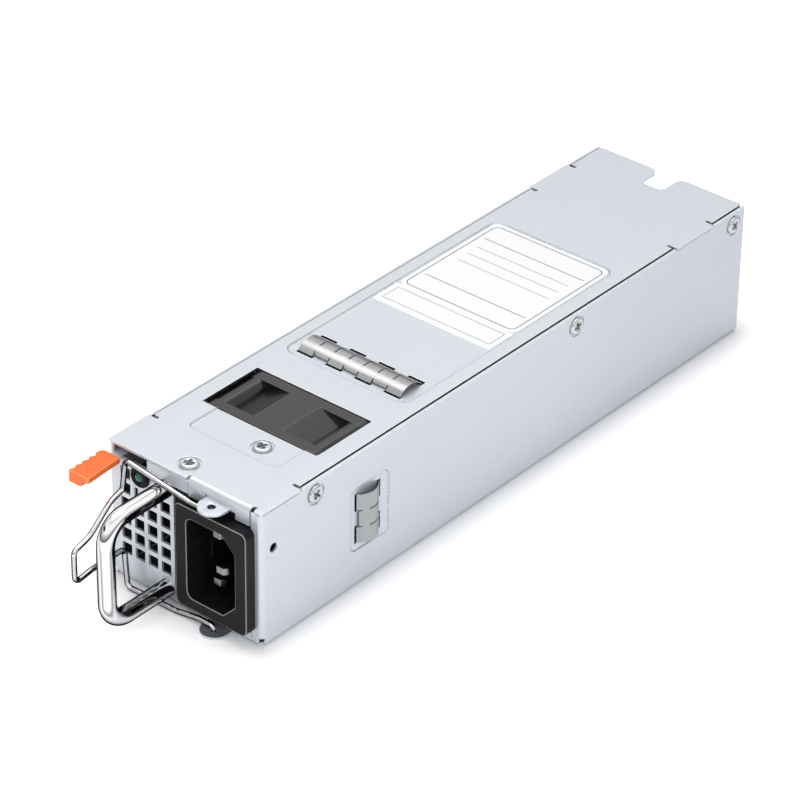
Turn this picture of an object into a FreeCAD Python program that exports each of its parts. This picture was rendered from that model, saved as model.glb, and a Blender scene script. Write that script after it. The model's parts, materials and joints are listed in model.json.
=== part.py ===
import FreeCAD, Part
import math
import os
import Sketcher

# Hot swap server power supply with a mains inlet, a fan, a carry handle, a release latch
# and a wire bail that holds the plug. Millimetres, +Z up. The origin is the centre of the
# bottom face, +X points to the inlet side and +Y to the rear, where the card edge is.

doc = FreeCAD.newDocument("PowerSupply")
sheet_of_sizes = doc.addObject("Spreadsheet::Sheet", "Sizes")
nodes = []
Vector = FreeCAD.Vector


class Size:
    """A length that carries its value and the sheet expression that gives it."""

    def __init__(self, value, text):
        self.value = float(value)
        self.text = text

    def __add__(self, other):
        other = lift(other)
        return Size(self.value + other.value, "(%s + %s)" % (self.text, other.text))

    def __sub__(self, other):
        other = lift(other)
        return Size(self.value - other.value, "(%s - %s)" % (self.text, other.text))

    def __mul__(self, other):
        other = lift(other)
        return Size(self.value * other.value, "(%s * %s)" % (self.text, other.text))

    def __truediv__(self, other):
        other = lift(other)
        return Size(self.value / other.value, "(%s / %s)" % (self.text, other.text))

    def __neg__(self):
        return Size(-self.value, "(0 - %s)" % self.text)

    def __radd__(self, other):
        return lift(other) + self

    def __rsub__(self, other):
        return lift(other) - self

    def __rmul__(self, other):
        return lift(other) * self


def lift(number):
    """A plain number as a Size."""
    if isinstance(number, Size):
        return number
    return Size(number, repr(float(number)))


def size(alias, value, note):
    """Put one driving dimension in the sheet and return it."""
    row = size.row
    size.row += 1
    sheet_of_sizes.set("A%d" % row, alias)
    sheet_of_sizes.set("B%d" % row, repr(float(value)))
    sheet_of_sizes.set("C%d" % row, note)
    sheet_of_sizes.setAlias("B%d" % row, alias)
    return Size(value, "Sizes.%s" % alias)


size.row = 1

# Case
case_width = size("case_width", 50.5, "outside width over the side walls")
case_length = size("case_length", 197.0, "length of the lid and walls")
case_height = size("case_height", 40.0, "height over the lid")
sheet = size("sheet", 0.8, "thickness of the case sheet")
bend = size("bend", 1.5, "outer radius of the case bends")
seam = size("seam", 0.12, "gap between folded edges that meet")
tab_length = size("tab_length", 14.4, "front lid tab that lies over the wall")
rear_tab_start = size("rear_tab_start", 30.5, "far end of the rear lid tab, from the rear")
rear_tab_length = size("rear_tab_length", 16.25, "rear lid tab")
lid_inset = size("lid_inset", 1.1, "lid edge inside the wall's outer face")
rim_drop = size("rim_drop", 0.25, "wall rims below the lid's top between the tabs")
relief_width = size("relief_width", 1.0, "width of the bend reliefs")
relief_depth = size("relief_depth", 1.9, "depth of the bend reliefs in the lid")
lip_height = size("lip_height", 6.2, "inner lips of the lid that take the side screws")
rear_notch_width = size("rear_notch_width", 7.2, "width of the notch in the lid's rear edge")
rear_notch_depth = size("rear_notch_depth", 8.5, "depth of that notch")
shroud = size("shroud", 9.2, "depth of the open shroud behind the rear panel")

# Front face
panel_edge = size("panel_edge", -3.6, "right edge of the vented panel")
panel_foot = size("panel_foot", 0.95, "height of the front fold's lower edge")
corner_relief = size("corner_relief", 2.6, "height where the vertical front bends start")
slot_drop = size("slot_drop", 3.7, "lower edge of the latch opening below the lid's top")
slot_end = size("slot_end", -12.3, "right end of the latch opening")
upper_strip_end = size("upper_strip_end", 1.3, "right end of the strip over the inlet cut-out")
cutout_margin_low = size("cutout_margin_low", 1.2, "inlet cut-out below the bezel")
cutout_margin_high = size("cutout_margin_high", 0.9, "inlet cut-out above the bezel")
return_width = size("return_width", 3.5, "front return of the right wall")
vent_size = size("vent_size", 3.2, "side of the square vents")
vent_pitch_x = size("vent_pitch_x", 4.43, "vent spacing across")
vent_pitch_z = size("vent_pitch_z", 4.55, "vent spacing upwards")
vent_last_x = size("vent_last_x", -6.5, "centre of the vent column beside the inlet")
vent_low_z = size("vent_low_z", 9.5, "centre of the lowest vent row")

# Indicator
led_x = size("led_x", -14.5, "indicator across")
led_drop = size("led_drop", 6.6, "indicator below the lid's top")
led_holder_radius = size("led_holder_radius", 3.0, "flange of the indicator's holder")
led_radius = size("led_radius", 1.35, "lens of the indicator")

# Carry handle
handle_x = size("handle_x", -6.1, "handle plane")
handle_drop = size("handle_drop", 6.3, "upper leg below the lid's top")
handle_bottom = size("handle_bottom", 4.1, "lower leg height")
handle_radius = size("handle_radius", 2.35, "radius of the handle rod")
handle_reach = size("handle_reach", 21.5, "rod centre in front of the case")
handle_top_bend = size("handle_top_bend", 6.6, "upper bend radius")
handle_low_bend = size("handle_low_bend", 6.6, "lower bend radius")
stud_radius = size("stud_radius", 1.6, "studs on the handle's ends")

# Mains inlet
inlet_x = size("inlet_x", 11.6, "inlet centre across")
inlet_drop = size("inlet_drop", 0.6, "inlet centre below the case's middle")
bezel_width = size("bezel_width", 23.2, "bezel width")
bezel_height = size("bezel_height", 30.0, "bezel height")
bezel_depth = size("bezel_depth", 3.5, "bezel in front of the case")
cavity_width = size("cavity_width", 15.9, "socket cavity width")
cavity_height = size("cavity_height", 23.7, "socket cavity height")
cavity_depth = size("cavity_depth", 16.5, "socket cavity depth")
cavity_cut = size("cavity_cut", 4.1, "cut corners on the earth side")
inlet_body_depth = size("inlet_body_depth", 20.5, "inlet body behind the front face")
pin_width = size("pin_width", 4.0, "contact blade width")
pin_thickness = size("pin_thickness", 2.0, "contact blade thickness")
pin_spacing = size("pin_spacing", 14.0, "live to neutral")
earth_offset = size("earth_offset", 4.0, "earth blade beside the other two")
pin_recess = size("pin_recess", 4.5, "live and neutral tips below the rim")
pin_tail = size("pin_tail", 3.4, "terminals behind the inlet's body")
earth_recess = size("earth_recess", 1.2, "earth tip below the rim")

# Cord retention bail
pivot_x = size("pivot_x", 11.4, "bail axis across")
pivot_reach = size("pivot_reach", 2.5, "bail axis in front of the case")
wire_radius = size("wire_radius", 0.74, "radius of the bail wire")
ear_radius = size("ear_radius", 3.95, "radius of the bail ears")
ear_hole = size("ear_hole", 1.1, "radius of the holes in the ears")
ear_shift = size("ear_shift", 0.6, "centre of the ears' round behind the bail axis")
ear_drop = size("ear_drop", 2.6, "upper ear's top below the lid's top")
ear_slit = size("ear_slit", 0.25, "slit between the upper ear and the fold beside it")
ear_relief = size("ear_relief", 0.4, "radius of the relief hole at the end of that slit")
bail_reach = size("bail_reach", 29.45, "loop plane to the bail axis")
loop_reach = size("loop_reach", 18.0, "finger loop length")
wire_gap = size("wire_gap", 0.33, "air between the bail wire and what it passes")

# Release latch
blade_length = size("blade_length", 48.0, "latch blade behind the front face")
blade_thickness = size("blade_thickness", 0.6, "latch blade thickness")
blade_drop = size("blade_drop", 7.5, "upper edge of the blade below the lid's top")
blade_height = size("blade_height", 7.0, "height of the blade")
blade_gap = size("blade_gap", 0.15, "air between blade and wall")
plate_left = size("plate_left", -23.35, "left edge of the plate where it passes the panel")
latch_plate_drop = size("latch_plate_drop", 3.5, "plate that carries the grip below the lid's top")
grip_left = size("grip_left", -25.9, "serrated side of the grip")
grip_width = size("grip_width", 6.8, "grip width")
grip_gap = size("grip_gap", 1.5, "grip in front of the case")
grip_length = size("grip_length", 12.2, "grip length")
grip_drop = size("grip_drop", 2.5, "grip top below the lid's top")
grip_taper = size("grip_taper", 0.8, "how much narrower the grip is at its rear")
grip_thick = size("grip_thick", 3.5, "grip thickness at the serrated side")
grip_thin = size("grip_thin", 1.75, "grip thickness at the other side")
serration = size("serration", 2.38, "pitch of the serrations")
serration_depth = size("serration_depth", 0.75, "depth of the serrations")
tooth_reach = size("tooth_reach", 0.9, "tooth outside the left wall")
tooth_length = size("tooth_length", 8.0, "tooth length")
tooth_setback = size("tooth_setback", 10.5, "tooth's locking face behind the front")

# Fan
fan_x = size("fan_x", -0.4, "fan centre across")
fan_gap = size("fan_gap", 0.2, "fan below the lid's top and above the bottom face")
fan_depth = size("fan_depth", 20.0, "fan depth")
fan_setback = size("fan_setback", 28.3, "fan behind the front face")
fan_flange = size("fan_flange", 3.1, "fan flange thickness")
fan_corner = size("fan_corner", 3.5, "fan corner radius")
fan_flat = size("fan_flat", 9.6, "flat of the housing between its slopes")
fan_shoulder = size("fan_shoulder", 12.2, "end of the housing's slope beside the fan's centre")
fan_slope = size("fan_slope", 2.1, "how far the slope falls")
fan_post = size("fan_post", 3.6, "radius of the corner posts")
fan_wall = size("fan_wall", 1.2, "thinnest wall round the air channel")
fan_hole_edge = size("fan_hole_edge", 3.8, "mounting holes from the frame's edge")
fan_opening_margin = size("fan_opening_margin", 0.8, "opening inside the frame's sides")
fan_opening_gap = size("fan_opening_gap", 0.2, "opening beside the fan")
hub_radius = size("hub_radius", 9.4, "fan hub radius")
blade_tip_gap = size("blade_tip_gap", 0.5, "blade tips to air channel")
shaft_radius = size("shaft_radius", 1.5, "fan shaft radius")
shaft_gap = size("shaft_gap", 0.05, "running clearance of the shaft")

# Shielding springs
finger_sheet = size("finger_sheet", 0.2, "spring sheet")
top_spring_front = size("top_spring_front", 61.7, "spring's near edge behind the front face")
top_spring_length = size("top_spring_length", 34.0, "spring across the lid")
spring_chord = size("spring_chord", 8.7, "width of the arch")
spring_rise = size("spring_rise", 2.1, "height of the arch")
finger_slit = size("finger_slit", 0.35, "slit between fingers")
finger_short = size("finger_short", 0.6, "how much every other finger falls short")
finger_hook = size("finger_hook", 0.5, "hooks below the sheet")
finger_root = size("finger_root", 3.1, "uncut strip at the spring's near edge")
slot_near = size("slot_near", 0.45, "spring slots beyond the near hooks")
slot_far = size("slot_far", 1.1, "spring slots beyond the far hooks")
slot_inside = size("slot_inside", 0.6, "spring slots inside the hooks")
side_spring_front = size("side_spring_front", 35.3, "side spring's near edge behind the front")
side_spring_drop = size("side_spring_drop", 19.7, "side spring's centre below the lid's top")
side_spring_length = size("side_spring_length", 14.4, "side spring's height")
side_panel_length = size("side_panel_length", 14.2, "recess round the side spring, along")
side_panel_height = size("side_panel_height", 18.4, "recess round the side spring, upwards")
side_panel_margin = size("side_panel_margin", 2.1, "recess before the side spring")
press_depth = size("press_depth", 0.35, "depth of the pressed panels")

# Label and pressed panels of the lid
label_width = size("label_width", 39.2, "label across")
label_length = size("label_length", 51.6, "label along")
label_strip = size("label_strip", 10.3, "square-cornered strip at the label's near end")
label_margin = size("label_margin", 0.4, "label inside the pressed panel")
label_thickness = size("label_thickness", 0.12, "label thickness")
label_panel_width = size("label_panel_width", 40.0, "pressed panel across")
label_panel_x = size("label_panel_x", -0.3, "pressed panel's centre across")
label_panel_front = size("label_panel_front", 59.4, "pressed panel behind the front")
label_panel_length = size("label_panel_length", 86.4, "pressed panel length")
fan_panel_width = size("fan_panel_width", 28.9, "pressed panel before the fan")
fan_panel_length = size("fan_panel_length", 10.8, "its length")

# Screws
screw_head_radius = size("screw_head_radius", 2.5, "pan heads")
screw_head_height = size("screw_head_height", 0.95, "pan head height")
screw_radius = size("screw_radius", 1.5, "screw shanks")
screw_length = size("screw_length", 4.2, "screw shank length")
dimple_radius = size("dimple_radius", 3.1, "dimples round the heads")
dimple_depth = size("dimple_depth", 0.45, "dimple depth")
lid_screw_x = size("lid_screw_x", -2.7, "front lid screw across")
lid_screw_setback = size("lid_screw_setback", 5.0, "front lid screw behind the front")
bracket_screw_x = size("bracket_screw_x", 5.5, "fan bracket screw across")
bracket_screw_setback = size("bracket_screw_setback", 22.5, "fan bracket screw")
side_screw_front = size("side_screw_front", 19.9, "front side screw behind the front")
side_screw_middle = size("side_screw_middle", 123.0, "middle side screw")
side_screw_rear = size("side_screw_rear", 192.3, "rear side screw")
side_screw_drop = size("side_screw_drop", 4.2, "side screws below the lid's top")

# Hole in the right wall
wall_hole_setback = size("wall_hole_setback", 4.4, "hole behind the front face")
wall_hole_drop = size("wall_hole_drop", 11.9, "hole below the lid's top")
wall_hole_radius = size("wall_hole_radius", 1.3, "hole radius")

# Circuit board and what it carries
board_width = size("board_width", 43.0, "main board width")
board_thickness = size("board_thickness", 1.6, "board thickness")
board_height = size("board_height", 5.0, "board underside above the bottom face")
board_gap = size("board_gap", 4.2, "board behind the fan")
edge_width = size("edge_width", 34.0, "card edge width")
edge_reach = size("edge_reach", 7.8, "card edge behind the rear panel")
contact_pitch = size("contact_pitch", 2.54, "card edge contacts")
standoff_radius = size("standoff_radius", 2.5, "board standoffs")
lead = size("lead", 1.0, "stand-off of the wound parts over the board")
core_width = size("core_width", 27.0, "transformer core width")
core_length = size("core_length", 25.0, "transformer core length")
core_height = size("core_height", 22.0, "transformer core height")
bulk_radius = size("bulk_radius", 10.8, "bulk capacitor radius")
bulk_length = size("bulk_length", 36.0, "bulk capacitor length")
output_cap_radius = size("output_cap_radius", 4.0, "output capacitor radius")
output_cap_height = size("output_cap_height", 16.0, "output capacitor height")
sink_height = size("sink_height", 26.0, "heat sink height")
sink_length = size("sink_length", 44.0, "heat sink length")
line_choke_radius = size("line_choke_radius", 9.8, "line choke radius")
line_choke_bore = size("line_choke_bore", 3.4, "line choke bore radius")
line_choke_height = size("line_choke_height", 8.0, "line choke height")
choke_base = size("choke_base", 20.0, "side of the line choke's base")
output_choke_radius = size("output_choke_radius", 9.0, "output choke radius")
output_choke_bore = size("output_choke_bore", 3.2, "output choke bore radius")
output_choke_width = size("output_choke_width", 6.4, "output choke width")
card_height = size("card_height", 20.0, "control card height")

half = case_width / 2
front = -(case_length / 2)
rear = case_length / 2
inner = half - sheet
lid_under = case_height - sheet
lid_half = half - lid_inset
wall_top = lid_under - seam
wall_rim = case_height - rim_drop
slot_sill = case_height - slot_drop
led_z = case_height - led_drop
handle_top = case_height - handle_drop
inlet_z = case_height / 2 - inlet_drop
blade_high = case_height - blade_drop
blade_low = blade_high - blade_height
latch_plate_z = case_height - latch_plate_drop
grip_top = case_height - grip_drop
side_spring_z = case_height - side_spring_drop
fan_size = case_height - fan_gap * 2
fan_bore = fan_size / 2 - fan_wall
fan_screw_spacing = fan_size - fan_hole_edge * 2
fan_opening = fan_size - fan_opening_margin * 2
fan_front = front + fan_setback
fan_rear = fan_front + fan_depth
fan_z = case_height / 2
board_top = board_height + board_thickness
board_front = fan_rear + board_gap
rear_panel_y = rear - shroud - sheet
ear_top = case_height - ear_drop
ear_under = ear_top - sheet
pivot_y = front - pivot_reach
bezel_left = inlet_x - bezel_width / 2
bezel_right = inlet_x + bezel_width / 2
bezel_top = inlet_z + bezel_height / 2
bezel_bottom = inlet_z - bezel_height / 2
bezel_front = front - bezel_depth
upper_strip_sill = bezel_top + cutout_margin_high
lower_strip_top = bezel_bottom - cutout_margin_low
blade_x = -inner + blade_gap
label_front = front + label_panel_front + label_panel_length - label_length - label_margin
top_fingers = 7
side_fingers = 3
doc.recompute()


def bind(thing, **lengths):
    """Drive properties of an object by the sheet."""
    for name, length in lengths.items():
        thing.setExpression(name.replace("__", "."), lift(length).text)


def new_body(label, at=None):
    """A body that becomes one sub-part."""
    body = doc.addObject("PartDesign::Body", label)
    body.Label = label
    nodes.append(body)
    if at:
        bind(body, Placement__Base__x=at[0], Placement__Base__y=at[1], Placement__Base__z=at[2])
    return body


def origin_part(body, role):
    """One of the body's own origin planes or axes."""
    return [part for part in body.Origin.OriginFeatures if part.Role == role][0]


def new_sketch(body, name, plane, offset=0.0):
    """A sketch on an origin plane of its body, moved along the plane's normal."""
    drawing = body.newObject("Sketcher::SketchObject", name)
    drawing.AttachmentSupport = [(origin_part(body, plane), "")]
    drawing.MapMode = "FlatFace"
    bind(drawing, AttachmentOffset__Base__z=offset)
    return drawing


def pin(drawing, element, point, x=None, y=None):
    """Hold one point of a sketch element at sizes from the sketch's origin."""
    for kind, length in (("DistanceX", x), ("DistanceY", y)):
        if length is not None:
            length = lift(length)
            rule = Sketcher.Constraint(kind, -1, 1, element, point, length.value)
            index = drawing.addConstraint(rule)
            drawing.setExpression("Constraints[%d]" % index, length.text)


def corner_points(before, corner, after):
    """Where the round of a square corner starts and ends, and its centre."""
    x, y, radius = corner
    ends = []
    for other in (before, after):
        run = other[0].value - x.value
        rise = other[1].value - y.value
        if abs(run) > abs(rise):
            ends.append((x + radius * math.copysign(1.0, run), y))
        else:
            ends.append((x, y + radius * math.copysign(1.0, rise)))
    centre = (ends[0][0] + ends[1][0] - x, ends[0][1] + ends[1][1] - y)
    return ends[0], ends[1], centre


def outline(drawing, corners):
    """A closed outline through (x, y) or, at a round square corner, (x, y, radius)."""
    corners = [tuple(lift(value) for value in corner) for corner in corners]
    count = len(corners)
    starts, stops, rounds = [], [], {}
    for index, corner in enumerate(corners):
        if len(corner) == 3:
            before = corners[index - 1]
            after = corners[(index + 1) % count]
            enter, leave, centre = corner_points(before, corner, after)
            cross = (corner[0].value - before[0].value) * (after[1].value - corner[1].value)
            cross -= (corner[1].value - before[1].value) * (after[0].value - corner[0].value)
            rounds[index] = (enter, leave, centre, corner[2], cross > 0)
        else:
            enter = leave = corner
        stops.append(enter)
        starts.append(leave)
    lines = []
    for index in range(count):
        begin = starts[index]
        end = stops[(index + 1) % count]
        segment = Part.LineSegment(
            Vector(begin[0].value, begin[1].value, 0), Vector(end[0].value, end[1].value, 0))
        lines.append(drawing.addGeometry(segment, False))
        pin(drawing, lines[-1], 1, *begin[:2])
    for index in range(count):
        arriving = lines[index - 1]
        if index not in rounds:
            drawing.addConstraint(Sketcher.Constraint("Coincident", arriving, 2, lines[index], 1))
            continue
        enter, leave, centre, radius, left_turn = rounds[index]
        pin(drawing, arriving, 2, *enter)
        middle = Vector(centre[0].value, centre[1].value, 0)
        first, last = (enter, leave) if left_turn else (leave, enter)
        angles = [math.atan2(end[1].value - middle.y, end[0].value - middle.x)
                  for end in (first, last)]
        circle = Part.Circle(middle, Vector(0, 0, 1), radius.value)
        arc = drawing.addGeometry(Part.ArcOfCircle(circle, *angles), False)
        at_enter, at_leave = (1, 2) if left_turn else (2, 1)
        drawing.addConstraint(Sketcher.Constraint("Coincident", arriving, 2, arc, at_enter))
        drawing.addConstraint(Sketcher.Constraint("Coincident", lines[index], 1, arc, at_leave))
        pin(drawing, arc, 3, centre[0])


def rectangle(drawing, left, low, right, high, radius=None):
    """An upright rectangle, with rounded corners if a radius is given."""
    corners = [(left, low), (right, low), (right, high), (left, high)]
    if radius is not None:
        corners = [corner + (radius,) for corner in corners]
    outline(drawing, corners)


def disc(drawing, x, y, radius):
    """A full circle."""
    x, y, radius = lift(x), lift(y), lift(radius)
    circle = Part.Circle(Vector(x.value, y.value, 0), Vector(0, 0, 1), radius.value)
    index = drawing.addGeometry(circle, False)
    pin(drawing, index, 3, x, y)
    rule = drawing.addConstraint(Sketcher.Constraint("Radius", index, radius.value))
    drawing.setExpression("Constraints[%d]" % rule, radius.text)


def pad(body, drawing, length, back=False, middle=False):
    """Add the sketch's area as a prism."""
    feature = body.newObject("PartDesign::Pad", "Pad_" + drawing.Name)
    feature.Profile = drawing
    bind(feature, Length=length)
    feature.Reversed = back
    feature.Midplane = middle
    drawing.Visibility = False
    doc.recompute()
    return feature


def pocket(body, drawing, length, back=False, middle=False):
    """Cut the sketch's area as a prism, along the plane's negative normal."""
    whole = body.Shape.Volume
    feature = body.newObject("PartDesign::Pocket", "Pocket_" + drawing.Name)
    feature.Profile = drawing
    bind(feature, Length=length)
    feature.Reversed = back
    feature.Midplane = middle
    doc.recompute()
    if feature.Shape.Volume > whole - 0.01:
        raise RuntimeError("%s takes nothing away" % feature.Name)
    return feature


def row_pattern(body, feature, axis, length, copies, back=False):
    """Repeat a feature along one of the body's axes."""
    pattern = body.newObject("PartDesign::LinearPattern", "Row_" + feature.Name)
    pattern.Originals = [feature]
    pattern.Direction = (origin_part(body, axis), [""])
    bind(pattern, Length=length)
    pattern.Occurrences = copies
    pattern.Reversed = back
    body.Tip = pattern
    doc.recompute()
    return pattern


def mirror(body, features, plane):
    """Mirror features in one of the body's origin planes."""
    copy = body.newObject("PartDesign::Mirrored", "Mirror_" + features[0].Name)
    copy.Originals = features
    copy.MirrorPlane = (origin_part(body, plane), [""])
    body.Tip = copy
    doc.recompute()
    return copy


def block(name, x, y, z, along_x, along_y, along_z):
    """A box from its lowest corner."""
    box = doc.addObject("Part::Box", name)
    bind(box, Length=along_x, Width=along_y, Height=along_z)
    bind(box, Placement__Base__x=x, Placement__Base__y=y, Placement__Base__z=z)
    return box


TURNS = {
    "z": FreeCAD.Rotation(),
    "y": FreeCAD.Rotation(Vector(1, 0, 0), -90),
    "x": FreeCAD.Rotation(Vector(0, 1, 0), 90),
}


def rod(name, axis, x, y, z, radius, length):
    """A cylinder from the centre of its first face, along +X, +Y or +Z."""
    cylinder = doc.addObject("Part::Cylinder", name)
    cylinder.Placement = FreeCAD.Placement(Vector(), TURNS[axis])
    bind(cylinder, Radius=radius, Height=length)
    bind(cylinder, Placement__Base__x=x, Placement__Base__y=y, Placement__Base__z=z)
    return cylinder


def join(name, parts):
    """Several shapes as one object."""
    union = doc.addObject("Part::MultiFuse", name)
    union.Shapes = parts
    return union


def cut(name, base, tool):
    """One shape less another."""
    rest = doc.addObject("Part::Cut", name)
    rest.Base = base
    rest.Tool = tool
    return rest


def node(thing, label):
    """Make an object a sub-part under its own label."""
    thing.Label = label
    nodes.append(thing)
    return thing


def bent_path(points, radii):
    """Straight runs through the points, joined by tangent arcs."""
    edges = []
    start = points[0]
    for index in range(1, len(points) - 1):
        corner = points[index]
        back = (points[index - 1] - corner).normalize()
        ahead = (points[index + 1] - corner).normalize()
        opening = back.getAngle(ahead)
        reach = radii[index - 1] / math.tan(opening / 2)
        enter = corner + back * reach
        leave = corner + ahead * reach
        middle_way = (back + ahead).normalize()
        centre = corner + middle_way * (radii[index - 1] / math.sin(opening / 2))
        crown = centre - middle_way * radii[index - 1]
        edges.append(Part.LineSegment(start, enter).toShape())
        edges.append(Part.Arc(enter, crown, leave).toShape())
        start = leave
    edges.append(Part.LineSegment(start, points[-1]).toShape())
    return Part.Wire(edges)


def wire_solid(points, radii, radius, sides=0):
    """A wire along a bent path, round or with flats."""
    path = bent_path(points, radii)
    along = (points[1] - points[0]).normalize()
    if sides:
        section = Part.makePolygon(flat_section(points[0], along, radius, sides))
    else:
        section = Part.Wire([Part.Circle(points[0], along, radius).toShape()])
    return path.makePipeShell([section], True, False)


def flat_section(centre, along, radius, sides):
    """Corners of a regular section square to a direction, the first one repeated."""
    across = along.cross(Vector(1, 0, 0) if abs(along.x) < 0.9 else Vector(0, 1, 0)).normalize()
    up = along.cross(across)
    turns = [2 * math.pi * number / sides for number in range(sides + 1)]
    return [centre + across * (radius * math.cos(turn)) + up * (radius * math.sin(turn))
            for turn in turns]


def feature_from(label, shape):
    """A sub-part whose shape is made here from the sizes."""
    thing = doc.addObject("Part::Feature", label)
    thing.Shape = shape
    thing.Placement = FreeCAD.Placement()
    return node(thing, label)


def at(x, y, z):
    """A point from three sizes."""
    return Vector(lift(x).value, lift(y).value, lift(z).value)


def build_chassis():
    """Folded tray: bottom, side walls, vented front fold, right return and lower ear."""
    body = new_body("chassis")
    tray = new_sketch(body, "TraySection", "XZ_Plane", -rear)
    outline(tray, [
        (-half, wall_rim), (-half, 0, bend), (half, 0, bend), (half, wall_rim),
        (inner, wall_rim), (inner, sheet, bend - sheet), (-inner, sheet, bend - sheet),
        (-inner, wall_rim)])
    pad(body, tray, case_length - bend)

    strip = new_sketch(body, "BottomFront", "XY_Plane")
    rectangle(strip, -half + bend, front, half - bend, front + bend + 1)
    pad(body, strip, sheet)

    left = new_sketch(body, "LeftFrontBend", "XY_Plane", corner_relief)
    outline(left, [
        (-half, front + bend + 1), (-half, front, bend), (-half + bend + 0.2, front),
        (-half + bend + 0.2, front + sheet), (-inner, front + sheet, bend - sheet),
        (-inner, front + bend + 1)])
    pad(body, left, wall_top - corner_relief)

    face = new_sketch(body, "FrontFace", "XZ_Plane", -front)
    outline(face, [
        (-half + bend, corner_relief), (-half + bend, panel_foot, corner_relief - panel_foot - 0.1),
        (half - return_width - seam, panel_foot),
        (half - return_width - seam, lower_strip_top), (panel_edge, lower_strip_top),
        (panel_edge, upper_strip_sill), (upper_strip_end, upper_strip_sill),
        (upper_strip_end, wall_top), (slot_end, wall_top), (slot_end, slot_sill),
        (-half + bend, slot_sill)])
    pad(body, face, sheet, back=True)

    right = new_sketch(body, "RightReturn", "XY_Plane", corner_relief)
    outline(right, [
        (half, front + bend + 1), (inner, front + bend + 1),
        (inner, front + sheet, bend - sheet), (half - return_width, front + sheet),
        (half - return_width, front), (half, front, bend)])
    pad(body, right, wall_top - seam - corner_relief)

    foot = new_sketch(body, "RightFoot", "XZ_Plane", -front)
    rectangle(foot, half - return_width, panel_foot, half - bend, corner_relief + 1)
    pad(body, foot, sheet, back=True)

    shelf = new_sketch(body, "LidScrewShelf", "XY_Plane", lid_under - sheet - seam)
    rectangle(shelf, lid_screw_x - 5, front, upper_strip_end, front + lid_screw_setback + 5)
    pad(body, shelf, sheet)

    ear = new_sketch(body, "LowerEar", "XY_Plane")
    disc(ear, pivot_x, pivot_y + ear_shift, ear_radius)
    pad(body, ear, sheet)
    straight = new_sketch(body, "LowerEarRoot", "XY_Plane")
    rectangle(straight, pivot_x - ear_radius, pivot_y + ear_shift, pivot_x + ear_radius,
              front + 1)
    pad(body, straight, sheet)
    ear_bore = new_sketch(body, "LowerEarBore", "XY_Plane")
    disc(ear_bore, pivot_x, pivot_y, ear_hole)
    pocket(body, ear_bore, sheet * 4, middle=True)

    build_front_openings(body)
    build_wall_openings(body)
    return body


def build_front_openings(body):
    """Square vents, indicator hole, handle studs and the shelf's thread."""
    first = new_sketch(body, "VentColumn", "XZ_Plane", -front)
    low_z = vent_low_z - vent_size / 2
    low_x = vent_last_x - vent_size / 2
    rectangle(first, low_x, low_z, low_x + vent_size, low_z + vent_size)
    row = pocket(body, first, sheet * 4, middle=True)
    rows = body.newObject("PartDesign::LinearPattern", "VentRows")
    rows.Direction = (origin_part(body, "Z_Axis"), [""])
    bind(rows, Length=vent_pitch_z * 4)
    rows.Occurrences = 5
    columns = body.newObject("PartDesign::LinearPattern", "VentColumns")
    columns.Direction = (origin_part(body, "X_Axis"), [""])
    columns.Reversed = True
    bind(columns, Length=vent_pitch_x * 3)
    columns.Occurrences = 4
    grid = body.newObject("PartDesign::MultiTransform", "VentGrid")
    grid.Originals = [row]
    grid.Transformations = [rows, columns]
    body.Tip = grid
    doc.recompute()

    corner_vent = new_sketch(body, "CornerVent", "XZ_Plane", -front)
    rectangle(corner_vent, low_x - vent_pitch_x * 3, low_z + vent_pitch_z * 5,
              low_x - vent_pitch_x * 3 + vent_size, low_z + vent_pitch_z * 5 + vent_size)
    pocket(body, corner_vent, sheet * 4, middle=True)

    holes = new_sketch(body, "FrontHoles", "XZ_Plane", -front)
    disc(holes, led_x, led_z, led_holder_radius - 0.6)
    for height in (handle_top, handle_bottom):
        disc(holes, handle_x, height, stud_radius)
    pocket(body, holes, sheet * 4, middle=True)

    thread = new_sketch(body, "ShelfThread", "XY_Plane", lid_under)
    disc(thread, lid_screw_x, front + lid_screw_setback, screw_radius)
    pocket(body, thread, sheet * 3)


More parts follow.
